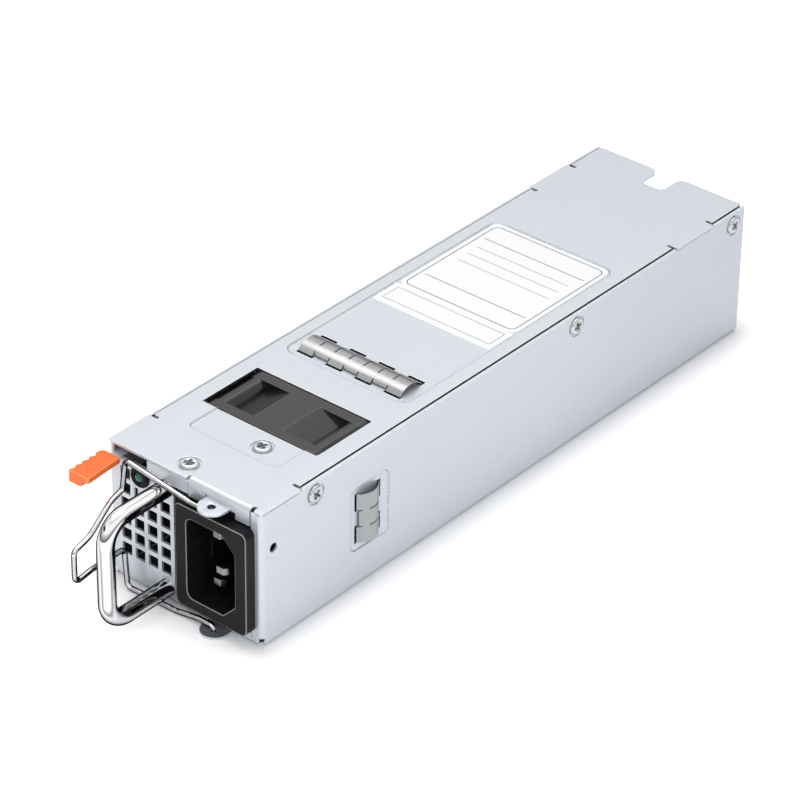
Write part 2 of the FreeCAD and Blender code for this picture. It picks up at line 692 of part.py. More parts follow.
def build_wall_openings(body):
    """Cut-downs for the lid's tabs, screw holes, latch window, side recess and fan opening."""
    rims = new_sketch(body, "TabRims", "YZ_Plane")
    tab_start = rear - rear_tab_start
    for start, stop in ((front - 1, front + tab_length + relief_width / 2),
                        (tab_start - relief_width / 2,
                         tab_start + rear_tab_length + relief_width / 2)):
        rectangle(rims, start, wall_top, stop, case_height + 1)
    pocket(body, rims, case_width + 2, middle=True)

    opening = new_sketch(body, "FanOpening", "XY_Plane")
    rectangle(opening, fan_x - fan_opening / 2, fan_front - fan_opening_gap,
              fan_x + fan_opening / 2, fan_rear + fan_opening_gap)
    pocket(body, opening, sheet * 4, middle=True)

    window = new_sketch(body, "LatchWindow", "YZ_Plane", -half)
    rectangle(window, front + tooth_setback - 0.8, blade_low + 0.6,
              front + tooth_setback + tooth_length + 0.8, blade_high + 0.3)
    pocket(body, window, sheet * 4, middle=True)

    for side, name in ((-1.0, "Left"), (1.0, "Right")):
        holes = new_sketch(body, "SideHoles" + name, "YZ_Plane", half * side)
        for setback in (side_screw_front, side_screw_middle, side_screw_rear):
            disc(holes, front + setback, case_height - side_screw_drop, screw_radius)
        if side > 0:
            disc(holes, front + wall_hole_setback, case_height - wall_hole_drop,
                 wall_hole_radius)
        pocket(body, holes, sheet * 4, middle=True)
        dimples = new_sketch(body, "SideDimples" + name, "YZ_Plane", half * side)
        for setback in (side_screw_front, side_screw_middle, side_screw_rear):
            disc(dimples, front + setback, case_height - side_screw_drop, dimple_radius)
        pocket(body, dimples, dimple_depth, back=side < 0)

    low = side_spring_z - side_panel_height / 2
    begin = front + side_spring_front - side_panel_margin
    backing = new_sketch(body, "SideRecessBack", "YZ_Plane", inner)
    rectangle(backing, begin - 0.3, low - 0.3, begin + side_panel_length + 0.3,
              low + side_panel_height + 0.3, 2.2)
    pad(body, backing, press_depth, back=True)
    recess = new_sketch(body, "SideRecess", "YZ_Plane", half)
    rectangle(recess, begin, low, begin + side_panel_length, low + side_panel_height, 2.0)
    pocket(body, recess, press_depth)
    slots = new_sketch(body, "SideSlots", "YZ_Plane", half)
    near = front + side_spring_front
    far = near + spring_chord
    pitch = side_spring_length / side_fingers
    for step in (-1.0, 1.0):
        low = side_spring_z + pitch * (step - 0.55)
        high = side_spring_z + pitch * (step + 0.55)
        rectangle(slots, near - slot_near, low, near + slot_inside, high)
        rectangle(slots, far - slot_inside, low, far + slot_far * 0.6, high)
    pocket(body, slots, sheet * 4, middle=True)


def build_lid():
    """Lid with tabs, front fold and ear, inner lips, pressed panels and openings."""
    body = new_body("lid")
    rear_tab_far = rear - rear_tab_start + rear_tab_length
    rear_tab_near = rear - rear_tab_start
    tab_end = front + tab_length
    notch_in = lid_half - relief_depth
    flange_left = upper_strip_end + 0.15
    flange_right = half - return_width - 0.4
    plate = new_sketch(body, "Plate", "XY_Plane", lid_under)
    right_side = [
        (half, front, 0.5), (half, tab_end), (notch_in, tab_end),
        (notch_in, tab_end + relief_width), (lid_half, tab_end + relief_width),
        (lid_half, rear_tab_near - relief_width), (notch_in, rear_tab_near - relief_width),
        (notch_in, rear_tab_near), (half, rear_tab_near), (half, rear_tab_far),
        (notch_in, rear_tab_far), (notch_in, rear_tab_far + relief_width),
        (lid_half, rear_tab_far + relief_width), (lid_half, rear, 1.2)]
    notch_left = -(rear_notch_width / 2) - 0.2
    notch = [
        (rear_notch_width + notch_left, rear, 2.6),
        (rear_notch_width + notch_left, rear - rear_notch_depth, 2.0),
        (notch_left, rear - rear_notch_depth, 2.0), (notch_left, rear, 2.6)]
    left_side = [(-corner[0],) + tuple(corner[1:]) for corner in reversed(right_side)]
    front_edge = [
        (flange_left - 0.7, front, 0.5), (flange_left - 0.7, front + bend),
        (flange_right + 0.1, front + bend), (flange_right + 0.1, front + bend + 0.4),
        (flange_right + 1.3, front + bend + 0.4), (flange_right + 1.3, front, 0.5)]
    outline(plate, right_side + notch + left_side + front_edge)
    pad(body, plate, sheet)

    fold = new_sketch(body, "FrontFold", "YZ_Plane", flange_left)
    outline(fold, [
        (front + bend + 0.1, case_height), (front, case_height, bend), (front, ear_under),
        (front + sheet, ear_under), (front + sheet, lid_under, bend - sheet),
        (front + bend + 0.1, lid_under)])
    pad(body, fold, flange_right - flange_left)
    skirt = new_sketch(body, "Skirt", "XZ_Plane", -front)
    rectangle(skirt, pivot_x + ear_radius + 1.4, bezel_top + wire_gap, flange_right,
              ear_under + 1)
    pad(body, skirt, sheet, back=True)
    apron = new_sketch(body, "Apron", "XZ_Plane", -front)
    rectangle(apron, flange_left, bezel_top + wire_gap, pivot_x - ear_radius - ear_slit,
              ear_under + 1)
    pad(body, apron, sheet, back=True)
    ear = new_sketch(body, "UpperEar", "XY_Plane", ear_under)
    disc(ear, pivot_x, pivot_y + ear_shift, ear_radius)
    pad(body, ear, sheet)
    root = new_sketch(body, "UpperEarRoot", "XY_Plane", ear_under)
    rectangle(root, pivot_x - ear_radius, pivot_y + ear_shift, pivot_x + ear_radius,
              front + 0.5)
    pad(body, root, sheet)

    lips = []
    for number, (start, stop) in enumerate((
            (front + side_screw_front - 4.5, front + side_screw_front + 4.5),
            (fan_rear + board_gap, rear_tab_near - 2), (rear_tab_far + 3, rear - 0.6))):
        lip = new_sketch(body, "Lip%d" % number, "XZ_Plane", -stop)
        outline(lip, [
            (lid_half - bend - 0.2, case_height), (lid_half - bend - 0.2, lid_under),
            (lid_half - sheet, lid_under), (lid_half - sheet, lid_under - lip_height),
            (lid_half, lid_under - lip_height), (lid_half, case_height - 0.05, 0.6)])
        lips.append(pad(body, lip, stop - start))
    mirror(body, lips, "YZ_Plane")

    build_lid_panels(body)
    build_lid_holes(body)
    return body


def build_lid_panels(body):
    """Pressed panels round the label and before the fan, each as deep inside as outside."""
    left = label_panel_x - label_panel_width / 2
    right = label_panel_x + label_panel_width / 2
    start = front + label_panel_front
    back = new_sketch(body, "LabelPanelBack", "XY_Plane", lid_under)
    rectangle(back, left, start, right, start + label_panel_length, 3.0)
    pad(body, back, press_depth, back=True)
    face = new_sketch(body, "LabelPanel", "XY_Plane", case_height)
    rectangle(face, left, start, right, start + label_panel_length, 3.0)
    pocket(body, face, press_depth)

    left = fan_x + 0.45 - fan_panel_width / 2
    near = fan_front - fan_opening_gap - fan_panel_length
    far = fan_front - fan_opening_gap
    under = new_sketch(body, "FanPanelBack", "XY_Plane", lid_under)
    outline(under, [(left, near, 1.5), (left + fan_panel_width, near, 1.5),
                    (left + fan_panel_width, far), (left, far)])
    pad(body, under, press_depth, back=True)
    over = new_sketch(body, "FanPanel", "XY_Plane", case_height)
    outline(over, [(left, near, 1.5), (left + fan_panel_width, near, 1.5),
                   (left + fan_panel_width, far), (left, far)])
    pocket(body, over, press_depth)


def build_lid_holes(body):
    """Fan opening, spring slots, ear bore, screw holes and dimples."""
    opening = new_sketch(body, "FanOpeningTop", "XY_Plane", case_height)
    rectangle(opening, fan_x - fan_opening / 2, fan_front - fan_opening_gap,
              fan_x + fan_opening / 2, fan_rear + fan_opening_gap)
    pocket(body, opening, sheet * 4, middle=True)

    slots = new_sketch(body, "SpringSlots", "XY_Plane", case_height)
    near = front + top_spring_front
    far = near + spring_chord
    pitch = top_spring_length / top_fingers
    for number in range(0, top_fingers, 2):
        middle = fan_x + pitch * (number - (top_fingers - 1) / 2)
        rectangle(slots, middle - pitch * 0.55, near - slot_near, middle + pitch * 0.55,
                  near + slot_inside)
        rectangle(slots, middle - pitch * 0.55, far - slot_inside, middle + pitch * 0.55,
                  far + slot_far)
    pocket(body, slots, sheet * 5, middle=True)

    bore = new_sketch(body, "UpperEarBore", "XY_Plane", ear_top)
    disc(bore, pivot_x, pivot_y, ear_hole)
    pocket(body, bore, sheet * 4, middle=True)
    relief = new_sketch(body, "EarRelief", "XZ_Plane", -front)
    disc(relief, pivot_x - ear_radius - ear_slit, ear_top, ear_relief)
    pocket(body, relief, sheet * 4, middle=True)

    spots = ((lid_screw_x, front + lid_screw_setback, 0.0),
             (bracket_screw_x, front + bracket_screw_setback, press_depth))
    for number, (x, y, sunk) in enumerate(spots):
        dimple = new_sketch(body, "Dimple%d" % number, "XY_Plane", case_height - sunk)
        disc(dimple, x, y, dimple_radius)
        pocket(body, dimple, dimple_depth)
        hole = new_sketch(body, "ScrewHole%d" % number, "XY_Plane", case_height)
        disc(hole, x, y, screw_radius)
        pocket(body, hole, sheet * 5, middle=True)
    for side, name in ((-1.0, "Left"), (1.0, "Right")):
        holes = new_sketch(body, "LipHoles" + name, "YZ_Plane", lid_half * side)
        for setback in (side_screw_front, side_screw_middle, side_screw_rear):
            disc(holes, front + setback, case_height - side_screw_drop, screw_radius)
        pocket(body, holes, sheet * 5, middle=True)


def build_rear_panel():
    """Recessed rear panel with slots for air, an opening for the card edge and side tabs."""
    body = new_body("rear_panel")
    edge = inner - seam
    floor = sheet * 2
    section = new_sketch(body, "RearSection", "XY_Plane", floor)
    outline(section, [
        (-edge, rear_panel_y, 0.9), (edge, rear_panel_y, 0.9), (edge, rear_panel_y + shroud - 1),
        (edge - sheet, rear_panel_y + shroud - 1), (edge - sheet, rear_panel_y + sheet),
        (-edge + sheet, rear_panel_y + sheet), (-edge + sheet, rear_panel_y + shroud - 1),
        (-edge, rear_panel_y + shroud - 1)])
    pad(body, section, lid_under - lip_height - 0.4 - floor)
    tongue = new_sketch(body, "RearTop", "XZ_Plane", -rear_panel_y)
    rectangle(tongue, -edge + sheet + 0.4, floor, edge - sheet - 0.4, wall_top)
    pad(body, tongue, sheet, back=True)
    slot = new_sketch(body, "CardSlot", "XZ_Plane", -rear_panel_y)
    rectangle(slot, -(edge_width / 2) - 0.6, board_height - 0.7, edge_width / 2 + 0.6,
              board_top + 0.7)
    pocket(body, slot, sheet * 6, middle=True)
    vent = new_sketch(body, "RearVent", "XZ_Plane", -rear_panel_y)
    rectangle(vent, -19.4, board_top + 4, -17.4, board_top + 28, 0.95)
    first = pocket(body, vent, sheet * 6, middle=True)
    row_pattern(body, first, "X_Axis", lift(36.8), 10)
    return body


def build_handle():
    """Bent rod with a stud at each end."""
    body = new_body("carry_handle")
    grip_y = front - handle_reach
    path = new_sketch(body, "HandlePath", "YZ_Plane", handle_x)
    top, low = handle_top, handle_bottom
    points = [
        (front, top), (grip_y + handle_top_bend, top), (grip_y, top - handle_top_bend),
        (grip_y, low + handle_low_bend), (grip_y + handle_low_bend, low), (front, low)]
    segments = {}
    for first, second in ((0, 1), (2, 3), (4, 5)):
        ends = [Vector(points[i][0].value, points[i][1].value, 0) for i in (first, second)]
        segments[first] = path.addGeometry(Part.LineSegment(*ends), False)
        pin(path, segments[first], 1, *points[first])
        pin(path, segments[first], 2, *points[second])
    for first, radius, centre in (
            (0, handle_top_bend, (grip_y + handle_top_bend, top - handle_top_bend)),
            (2, handle_low_bend, (grip_y + handle_low_bend, low + handle_low_bend))):
        middle = Vector(centre[0].value, centre[1].value, 0)
        start = math.pi / 2 if first == 0 else math.pi
        circle = Part.Circle(middle, Vector(0, 0, 1), radius.value)
        arc = path.addGeometry(Part.ArcOfCircle(circle, start, start + math.pi / 2), False)
        path.addConstraint(Sketcher.Constraint("Coincident", segments[first], 2, arc, 1))
        path.addConstraint(Sketcher.Constraint("Coincident", arc, 2, segments[first + 2], 1))
        pin(path, arc, 3, centre[0])
    section = new_sketch(body, "HandleSection", "XZ_Plane", -front)
    disc(section, handle_x, handle_top, handle_radius)
    doc.recompute()
    sweep = body.newObject("PartDesign::AdditivePipe", "HandleRod")
    sweep.Profile = section
    sweep.Spine = (path, ["Edge%d" % number for number in range(1, 6)])
    doc.recompute()
    studs = new_sketch(body, "HandleStuds", "XZ_Plane", -front)
    for height in (handle_top, handle_bottom):
        disc(studs, handle_x, height, stud_radius - 0.1)
    pad(body, studs, sheet * 3, back=True)

    rings = []
    for number, height in enumerate((handle_top, handle_bottom)):
        ring = rod("HandleRing%d" % number, "y", handle_x, front + sheet, height, 2.2, 0.7)
        bore = rod("HandleRingBore%d" % number, "y", handle_x, front, height,
                   stud_radius - 0.1, 4.0)
        rings.append(cut("HandleWasher%d" % number, ring, bore))
    node(join("HandleWashers", rings), "handle_washers")
    return body


def build_inlet():
    """Mains inlet, turned upright: bezel, body, rear flange, cavity and three blades."""
    body = new_body("inlet_housing")
    bezel = new_sketch(body, "Bezel", "XZ_Plane", -bezel_front)
    rectangle(bezel, bezel_left, bezel_bottom, bezel_right, bezel_top, 1.6)
    pad(body, bezel, bezel_depth, back=True)
    flange_y = front + sheet
    core = new_sketch(body, "InletBody", "XZ_Plane", -front)
    rectangle(core, bezel_left + 1.6, bezel_bottom + 1.2, half - return_width - 0.5,
              bezel_top - 1.2, 1.0)
    pad(body, core, inlet_body_depth, back=True)
    flange = new_sketch(body, "InletFlange", "XZ_Plane", -flange_y)
    rectangle(flange, panel_edge - 0.2, lower_strip_top - 1.4, inner - bend + sheet - 0.1,
              upper_strip_sill + 0.6)
    pad(body, flange, 2.2, back=True)

    left = inlet_x - cavity_width / 2
    right = inlet_x + cavity_width / 2
    low = inlet_z - cavity_height / 2
    high = inlet_z + cavity_height / 2
    cavity = new_sketch(body, "Cavity", "XZ_Plane", -bezel_front)
    outline(cavity, [
        (left, low, 2.0), (right - cavity_cut, low), (right, low + cavity_cut),
        (right, high - cavity_cut), (right - cavity_cut, high), (left, high, 2.0)])
    pocket(body, cavity, cavity_depth)

    recesses = new_sketch(body, "CavityRecess", "YZ_Plane", left)
    for centre in (inlet_z + 6.8, inlet_z - 2.2):
        rectangle(recesses, bezel_front + 1.8, centre - 2.9, bezel_front + 9.5, centre + 2.9)
    pocket(body, recesses, 0.5, back=False)

    bores = new_sketch(body, "PinBores", "XZ_Plane", -(bezel_front + cavity_depth - 1))
    spots = pin_places()
    for x, z, recess in spots:
        rectangle(bores, x - pin_width / 2, z - pin_thickness / 2, x + pin_width / 2,
                  z + pin_thickness / 2)
    pocket(body, bores, inlet_body_depth)

    pins = new_body("inlet_pins")
    tail = front + inlet_body_depth + pin_tail
    for number, (x, z, recess) in enumerate(spots):
        blade = new_sketch(pins, "Blade%d" % number, "XY_Plane", z - pin_thickness / 2)
        tip = bezel_front + recess
        outline(blade, [
            (x - pin_width / 2, tip + 1.2), (x - pin_width / 2 + 0.9, tip),
            (x + pin_width / 2 - 0.9, tip), (x + pin_width / 2, tip + 1.2),
            (x + pin_width / 2, tail), (x - pin_width / 2, tail)])
        pad(pins, blade, pin_thickness)
    return body


def pin_places():
    """Across, up and depth of the live, neutral and earth blades."""
    x = inlet_x - earth_offset / 2
    return [(x, inlet_z + pin_spacing / 2, pin_recess), (x, inlet_z - pin_spacing / 2, pin_recess),
            (x + earth_offset, inlet_z, earth_recess)]


def build_bail():
    """Wire bail that swings about the two ears, with a finger loop."""
    arm_z = bezel_top + wire_gap + wire_radius
    low_z = sheet + wire_gap + wire_radius
    floor_z = wire_radius + 0.04
    loop_x = pivot_x - bail_reach
    loop_top = handle_top - 4.1
    loop_low = handle_bottom + 7.8
    y = pivot_y
    lean = pivot_y - 0.6
    points = [
        at(pivot_x, y, ear_top + 0.1), at(pivot_x, y, arm_z),
        at(pivot_x - 7.2, y, arm_z), at(loop_x + 1.6, lean, handle_top + 5.3),
        at(loop_x + 0.2, lean, loop_top), at(loop_x, y - 4.6, loop_top - 1.4),
        at(loop_x, y - loop_reach + 5.6, loop_top - 8.0),
        at(loop_x, y - loop_reach, loop_top - 9.6), at(loop_x, y - loop_reach, loop_low - 1.2),
        at(loop_x, y - loop_reach + 6.0, loop_low - 0.3), at(loop_x + 0.2, lean, loop_low),
        at(loop_x + 1.0, lean, floor_z), at(pivot_x - 12.0, y - 0.2, floor_z),
        at(pivot_x - 5.0, y, low_z), at(pivot_x, y, low_z), at(pivot_x, y, -0.0)]
    radii = [1.0, 6.0, 1.5, 1.3, 8.0, 8.0, 1.6, 1.5, 8.0, 1.3, 1.6, 8.0, 8.0, 1.0]
    return feature_from("cord_bail", wire_solid(points, radii, wire_radius.value))


def build_latch():
    """Release latch: leaf with a tooth and a plate, moulded grip, and the riveted foot."""
    root_y = front + blade_length
    end_y = front + sheet + 0.9
    leaf = new_body("latch_spring")
    side = new_sketch(leaf, "LeafSide", "YZ_Plane", blade_x)
    rise_y = front + tooth_setback
    outline(side, [
        (end_y, blade_low), (root_y - 0.3, blade_low), (root_y - 0.3, blade_high),
        (rise_y, blade_high), (rise_y, latch_plate_z + blade_thickness),
        (end_y, latch_plate_z + blade_thickness)])
    pad(leaf, side, blade_thickness)
    plate = new_sketch(leaf, "LeafPlate", "XY_Plane", latch_plate_z)
    grip_front = front - grip_gap - grip_length
    outline(plate, [
        (blade_x, end_y), (plate_left, end_y), (plate_left, grip_front + 1.4),
        (blade_x + 3.6, grip_front + 1.4), (blade_x + 3.6, rise_y - 3),
        (blade_x + 1.2, rise_y - 0.6), (blade_x, rise_y - 0.6)])
    pad(leaf, plate, blade_thickness)
    tooth = new_sketch(leaf, "Tooth", "XY_Plane", blade_low + 1.5)
    outline(tooth, [
        (blade_x + blade_thickness, rise_y), (-half - tooth_reach, rise_y),
        (blade_x, rise_y + tooth_length), (blade_x + blade_thickness, rise_y + tooth_length)])
    pad(leaf, tooth, blade_high - blade_low - 2.2)

    grip = new_body("latch_grip")
    back_y = front - grip_gap
    left = grip_left
    steps = [(left + 1.2, back_y), (left + 0.3, back_y - 0.5), (left, back_y - 1.3)]
    for number in range(4):
        ridge = back_y - serration - serration * number
        steps.append((left, ridge))
        steps.append((left + serration_depth, ridge - serration * 0.4))
    steps.append((left, grip_front + 0.3))
    shape = new_sketch(grip, "GripOutline", "XY_Plane", grip_top)
    outline(shape, steps + [
        (left + 0.3, grip_front), (left + grip_width - 0.3, grip_front),
        (left + grip_width, grip_front + 0.3), (left + grip_width - grip_taper, back_y)])
    pad(grip, shape, grip_thick, back=True)
    under = new_sketch(grip, "GripUnder", "XZ_Plane", -grip_front + 1)
    step_x = left + grip_width * 0.56
    outline(under, [
        (step_x, grip_top - grip_thick - 1), (left + grip_width + 1, grip_top - grip_thick - 1),
        (left + grip_width + 1, grip_top - grip_thin), (step_x + 1.0, grip_top - grip_thin)])
    pocket(grip, under, grip_length + 2)
    pouch = new_sketch(grip, "GripPouch", "XY_Plane", latch_plate_z)
    rectangle(pouch, plate_left, grip_front + 1.4, blade_x + 3.6, back_y + 1)
    pocket(grip, pouch, blade_thickness, back=True)

    foot = new_body("latch_foot")
    foot_side = new_sketch(foot, "FootSide", "YZ_Plane", -inner)
    rectangle(foot_side, root_y, blade_low, root_y + 12, blade_high, 1.0)
    pad(foot, foot_side, blade_thickness + blade_gap)
    heads = new_sketch(foot, "FootRivets", "YZ_Plane", -inner)
    for step in (3.4, 8.6):
        disc(heads, root_y + step, (blade_low + blade_high) / 2, 1.3)
    pad(foot, heads, blade_thickness + blade_gap + 0.5)


def build_indicator():
    """Holder with a flange in front of the panel, lens, and the small board behind."""
    body = new_body("led_holder")
    turned = new_sketch(body, "HolderSection", "YZ_Plane", led_x)
    bore = led_radius
    outline(turned, [
        (front - 0.9, led_z + bore), (front - 0.9, led_z + led_holder_radius - 0.4),
        (front - 0.5, led_z + led_holder_radius), (front, led_z + led_holder_radius),
        (front, led_z + led_holder_radius - 0.6), (front + 6, led_z + led_holder_radius - 0.6),
        (front + 6, led_z + bore)])
    spin_about(body, turned, led_z)
    lens = new_body("led_lens")
    profile = new_sketch(lens, "LensSection", "YZ_Plane", led_x)
    outline(profile, [
        (front - 1.3, led_z), (front - 1.1, led_z + bore * 0.6), (front - 0.6, led_z + bore),
        (front + 6, led_z + bore), (front + 6, led_z)])
    spin_about(lens, profile, led_z)
    board = block("IndicatorBoard", led_x - 3.5, front + 6, led_z - 6.0, 10.0, 1.2, 9.0)
    node(board, "indicator_board")
    shelf = led_z - 6.0
    clip = [
        block("ClipFoot", led_x - 2.0, front + sheet, shelf - 0.8, 4.0, 6.5, 0.8),
        block("ClipWall", led_x - 2.0, front + sheet, shelf, 4.0, 0.8, 2.0)]
    node(join("IndicatorClip", clip), "indicator_clip")


def spin_about(body, drawing, height):
    """Full turn of a section in the YZ plane about a line along Y at the given height."""
    axis = drawing.addGeometry(Part.LineSegment(
        Vector(front.value - 5, height.value, 0), Vector(front.value + 5, height.value, 0)), True)
    pin(drawing, axis, 1, front - 5, height)
    pin(drawing, axis, 2, front + 5, height)
    turn = body.newObject("PartDesign::Revolution", "Turn_" + drawing.Name)
    turn.Profile = drawing
    turn.ReferenceAxis = (drawing, ["Axis0"])
    turn.Angle = 360
    doc.recompute()


def build_fan():
    """Fan: frame with two flanges, motor cup and struts, and the rotor on its shaft."""
    centre = (fan_x, fan_front, fan_z)
    side = fan_size / 2
    frame = new_body("fan_frame", centre)
    for number, start in enumerate((lift(0.0), fan_depth - fan_flange)):
        flange = new_sketch(frame, "Flange%d" % number, "XZ_Plane", -start)
        rectangle(flange, -side, -side, side, side, fan_corner)
        pad(frame, flange, fan_flange, back=True)
    housing = new_sketch(frame, "Housing", "XZ_Plane")
    flat = fan_flat / 2
    fall = side - fan_slope
    quarter = [(flat, side), (fan_shoulder, fall), (fall, fan_shoulder), (side, flat)]
    right_half = quarter + [(x, -z) for x, z in reversed(quarter)]
    outline(housing, right_half + [(-x, z) for x, z in reversed(right_half)])
    pad(frame, housing, fan_depth, back=True)
    hole = fan_screw_spacing / 2
    posts = new_sketch(frame, "Posts", "XZ_Plane")
    for across in (-1.0, 1.0):
        for up in (-1.0, 1.0):
            disc(posts, hole * across, hole * up, fan_post)
    pad(frame, posts, fan_depth, back=True)
    channel = new_sketch(frame, "Channel", "XZ_Plane", 1.0)
    disc(channel, 0, 0, fan_bore)
    pocket(frame, channel, fan_depth + 2)
    screws = new_sketch(frame, "FanBores", "XZ_Plane", 1.0)
    for across in (-1.0, 1.0):
        for up in (-1.0, 1.0):
            disc(screws, hole * across, hole * up, 1.7)
    pocket(frame, screws, fan_depth + 2)
    cup = new_sketch(frame, "MotorCup", "XZ_Plane", -(fan_depth - 2.4))
    disc(cup, 0, 0, hub_radius)
    pad(frame, cup, 2.4, back=True)
    strut = new_sketch(frame, "Strut", "XZ_Plane", -(fan_depth - 2.0))
    rectangle(strut, hub_radius - 1, -0.9, fan_bore + 0.3, 0.9)
    arm = pad(frame, strut, 2.0, back=True)
    polar(frame, arm, 4)
    bearing = new_sketch(frame, "Bearing", "XZ_Plane", -(fan_depth - 9.0))
    disc(bearing, 0, 0, shaft_radius + 1.4)
    pad(frame, bearing, 7.0, back=True)
    bore = new_sketch(frame, "BearingBore", "XZ_Plane", -(fan_depth - 12.0))
    disc(bore, 0, 0, shaft_radius + shaft_gap)
    pocket(frame, bore, 11.0)

    rotor = new_body("fan_rotor", centre)
    hub = new_sketch(rotor, "HubSection", "YZ_Plane")
    face = lift(2.2)
    stop = fan_depth - 2.4 - 0.5
    outline(hub, [
        (face, 0), (face, hub_radius - 1.2), (face + 1.2, hub_radius), (stop, hub_radius),
        (stop, hub_radius - 1.2), (face + 1.6, hub_radius - 1.2), (face + 1.6, shaft_radius),
        (fan_depth - 1.6, shaft_radius), (fan_depth - 1.6, 0)])
    turn = rotor.newObject("PartDesign::Revolution", "Hub")
    turn.Profile = hub
    turn.ReferenceAxis = (origin_part(rotor, "Y_Axis"), [""])
    turn.Angle = 360
    doc.recompute()
    root = new_sketch(rotor, "BladeRoot", "YZ_Plane", hub_radius - 0.7)
    outline(root, [(4.0, -2.6), (5.0, -3.0), (15.4, 2.2), (14.6, 2.9)])
    tip = new_sketch(rotor, "BladeTip", "YZ_Plane", fan_bore - blade_tip_gap - 1.4)
    outline(tip, [(4.4, -6.6), (5.0, -7.2), (14.8, 3.9), (14.2, 4.6)])
    doc.recompute()
    blade = rotor.newObject("PartDesign::AdditiveLoft", "Blade")
    blade.Profile = root
    blade.Sections = [tip]
    doc.recompute()
    polar(rotor, blade, 7)


def polar(body, feature, copies):
    """Repeat a feature round the body's Y axis."""
    pattern = body.newObject("PartDesign::PolarPattern", "Ring_" + feature.Name)
    pattern.Originals = [feature]
    pattern.Axis = (origin_part(body, "Y_Axis"), [""])
    pattern.Angle = 360
    pattern.Occurrences = copies
    body.Tip = pattern
    doc.recompute()


def build_fan_bracket():
    """Sheet bracket that ties the fan's front flange to the lid."""
    body = new_body("fan_bracket")
    top = lid_under - press_depth - 0.05
    side = new_sketch(body, "BracketSide", "YZ_Plane", bracket_screw_x)
    near = front + bracket_screw_setback - 4.0
    outline(side, [
        (near, top), (near, top - sheet), (fan_front - 0.05 - sheet, top - sheet),
        (fan_front - 0.05 - sheet, top - 5.2), (fan_front - 0.05, top - 5.2),
        (fan_front - 0.05, top)])
    pad(body, side, lift(16.0), middle=True)
    thread = new_sketch(body, "BracketThread", "XY_Plane", top)
    disc(thread, bracket_screw_x, front + bracket_screw_setback, screw_radius)
    pocket(body, thread, sheet * 3, middle=True)


def build_springs():
    """Shielding springs: a row of arched fingers on the lid and one on the right wall."""
    top = feature_from("emi_spring_top", spring_shape(top_spring_length.value, top_fingers))
    top.Placement = FreeCAD.Placement(
        at(fan_x, front + top_spring_front, case_height - press_depth), FreeCAD.Rotation())
    side = feature_from("emi_spring_side", spring_shape(side_spring_length.value, side_fingers))
    side.Placement = FreeCAD.Placement(
        at(half - press_depth, front + side_spring_front, side_spring_z),
        FreeCAD.Rotation(Vector(0, 1, 0), 90))


def spring_shape(length, fingers):
    """Arched strip along X, slit into fingers; every other finger hooks under the sheet."""
    chord = spring_chord.value
    rise = spring_rise.value
    thin = finger_sheet.value
    outer = (chord * chord / 4 + rise * rise) / (2 * rise)
    centre_z = rise - outer
    reach = chord / 2
    left = -length / 2
    lower_half = math.sqrt((outer - thin) ** 2 - centre_z ** 2)
    begin = Vector(left, 0, 0)
    end = Vector(left, chord, 0)
    low_begin = Vector(left, reach - lower_half, 0)
    low_end = Vector(left, reach + lower_half, 0)
    wire = Part.Wire([
        Part.Arc(begin, Vector(left, reach, rise), end).toShape(),
        Part.LineSegment(end, low_end).toShape(),
        Part.Arc(low_end, Vector(left, reach, rise - thin), low_begin).toShape(),
        Part.LineSegment(low_begin, begin).toShape()])
    strip = Part.Face(wire).extrude(Vector(length, 0, 0))
    pitch = length / fingers
    slit = finger_slit.value
    short = finger_short.value
    for number in range(1, fingers):
        x = left + pitch * number - slit / 2
        strip = strip.cut(Part.makeBox(slit, chord, rise, Vector(x, finger_root.value, 0)))
        strip = strip.cut(Part.makeBox(slit, short * 2, rise, Vector(x, 0, 0)))
    drop = (sheet + finger_hook).value
    for number in range(fingers):
        x = left + pitch * number
        if number % 2:
            for y in (0, chord - short):
                strip = strip.cut(Part.makeBox(pitch, short, rise, Vector(x, y, 0)))
            continue
        x += slit / 2
        for y in (0, chord - thin):
            strip = strip.fuse(Part.makeBox(
                pitch - slit, thin, drop + thin, Vector(x, y, -drop)))
    return strip.removeSplitter()


def build_label():
    """Rating label in the pressed panel."""
    body = new_body("rating_label")
    left = label_panel_x - label_width / 2
    right = label_panel_x + label_width / 2
    drawing = new_sketch(body, "LabelOutline", "XY_Plane", case_height - press_depth)
    rectangle(drawing, left, label_front + label_strip, right, label_front + label_length, 2.6)
    pad(body, drawing, label_thickness)
    strip = new_sketch(body, "LabelStrip", "XY_Plane", case_height - press_depth)
    rectangle(strip, left, label_front, right, label_front + label_strip)
    pad(body, strip, label_thickness)


def pan_screw(name, axis, x, y, z, outward):
    """Pan head screw seated at a point, with its shank against the outward direction."""
    head_shift = lift(0.0) if outward > 0 else -screw_head_height
    shank_shift = -screw_length if outward > 0 else lift(0.0)
    place = {"x": x, "y": y, "z": z}
    head_place = dict(place)
    head_place[axis] = place[axis] + head_shift
    shank_place = dict(place)
    shank_place[axis] = place[axis] + shank_shift
    head = rod(name + "Head", axis, head_place["x"], head_place["y"], head_place["z"],
               screw_head_radius, screw_head_height)
    shank = rod(name + "Shank", axis, shank_place["x"], shank_place["y"], shank_place["z"],
                screw_radius, screw_length)
    doc.recompute()
    rounded = doc.addObject("Part::Chamfer", name + "Round")
    rounded.Base = head
    rim = 3 if outward > 0 else 2
    rounded.Edges = [(rim, 0.45, 0.45)]
    return join(name, [rounded, shank])


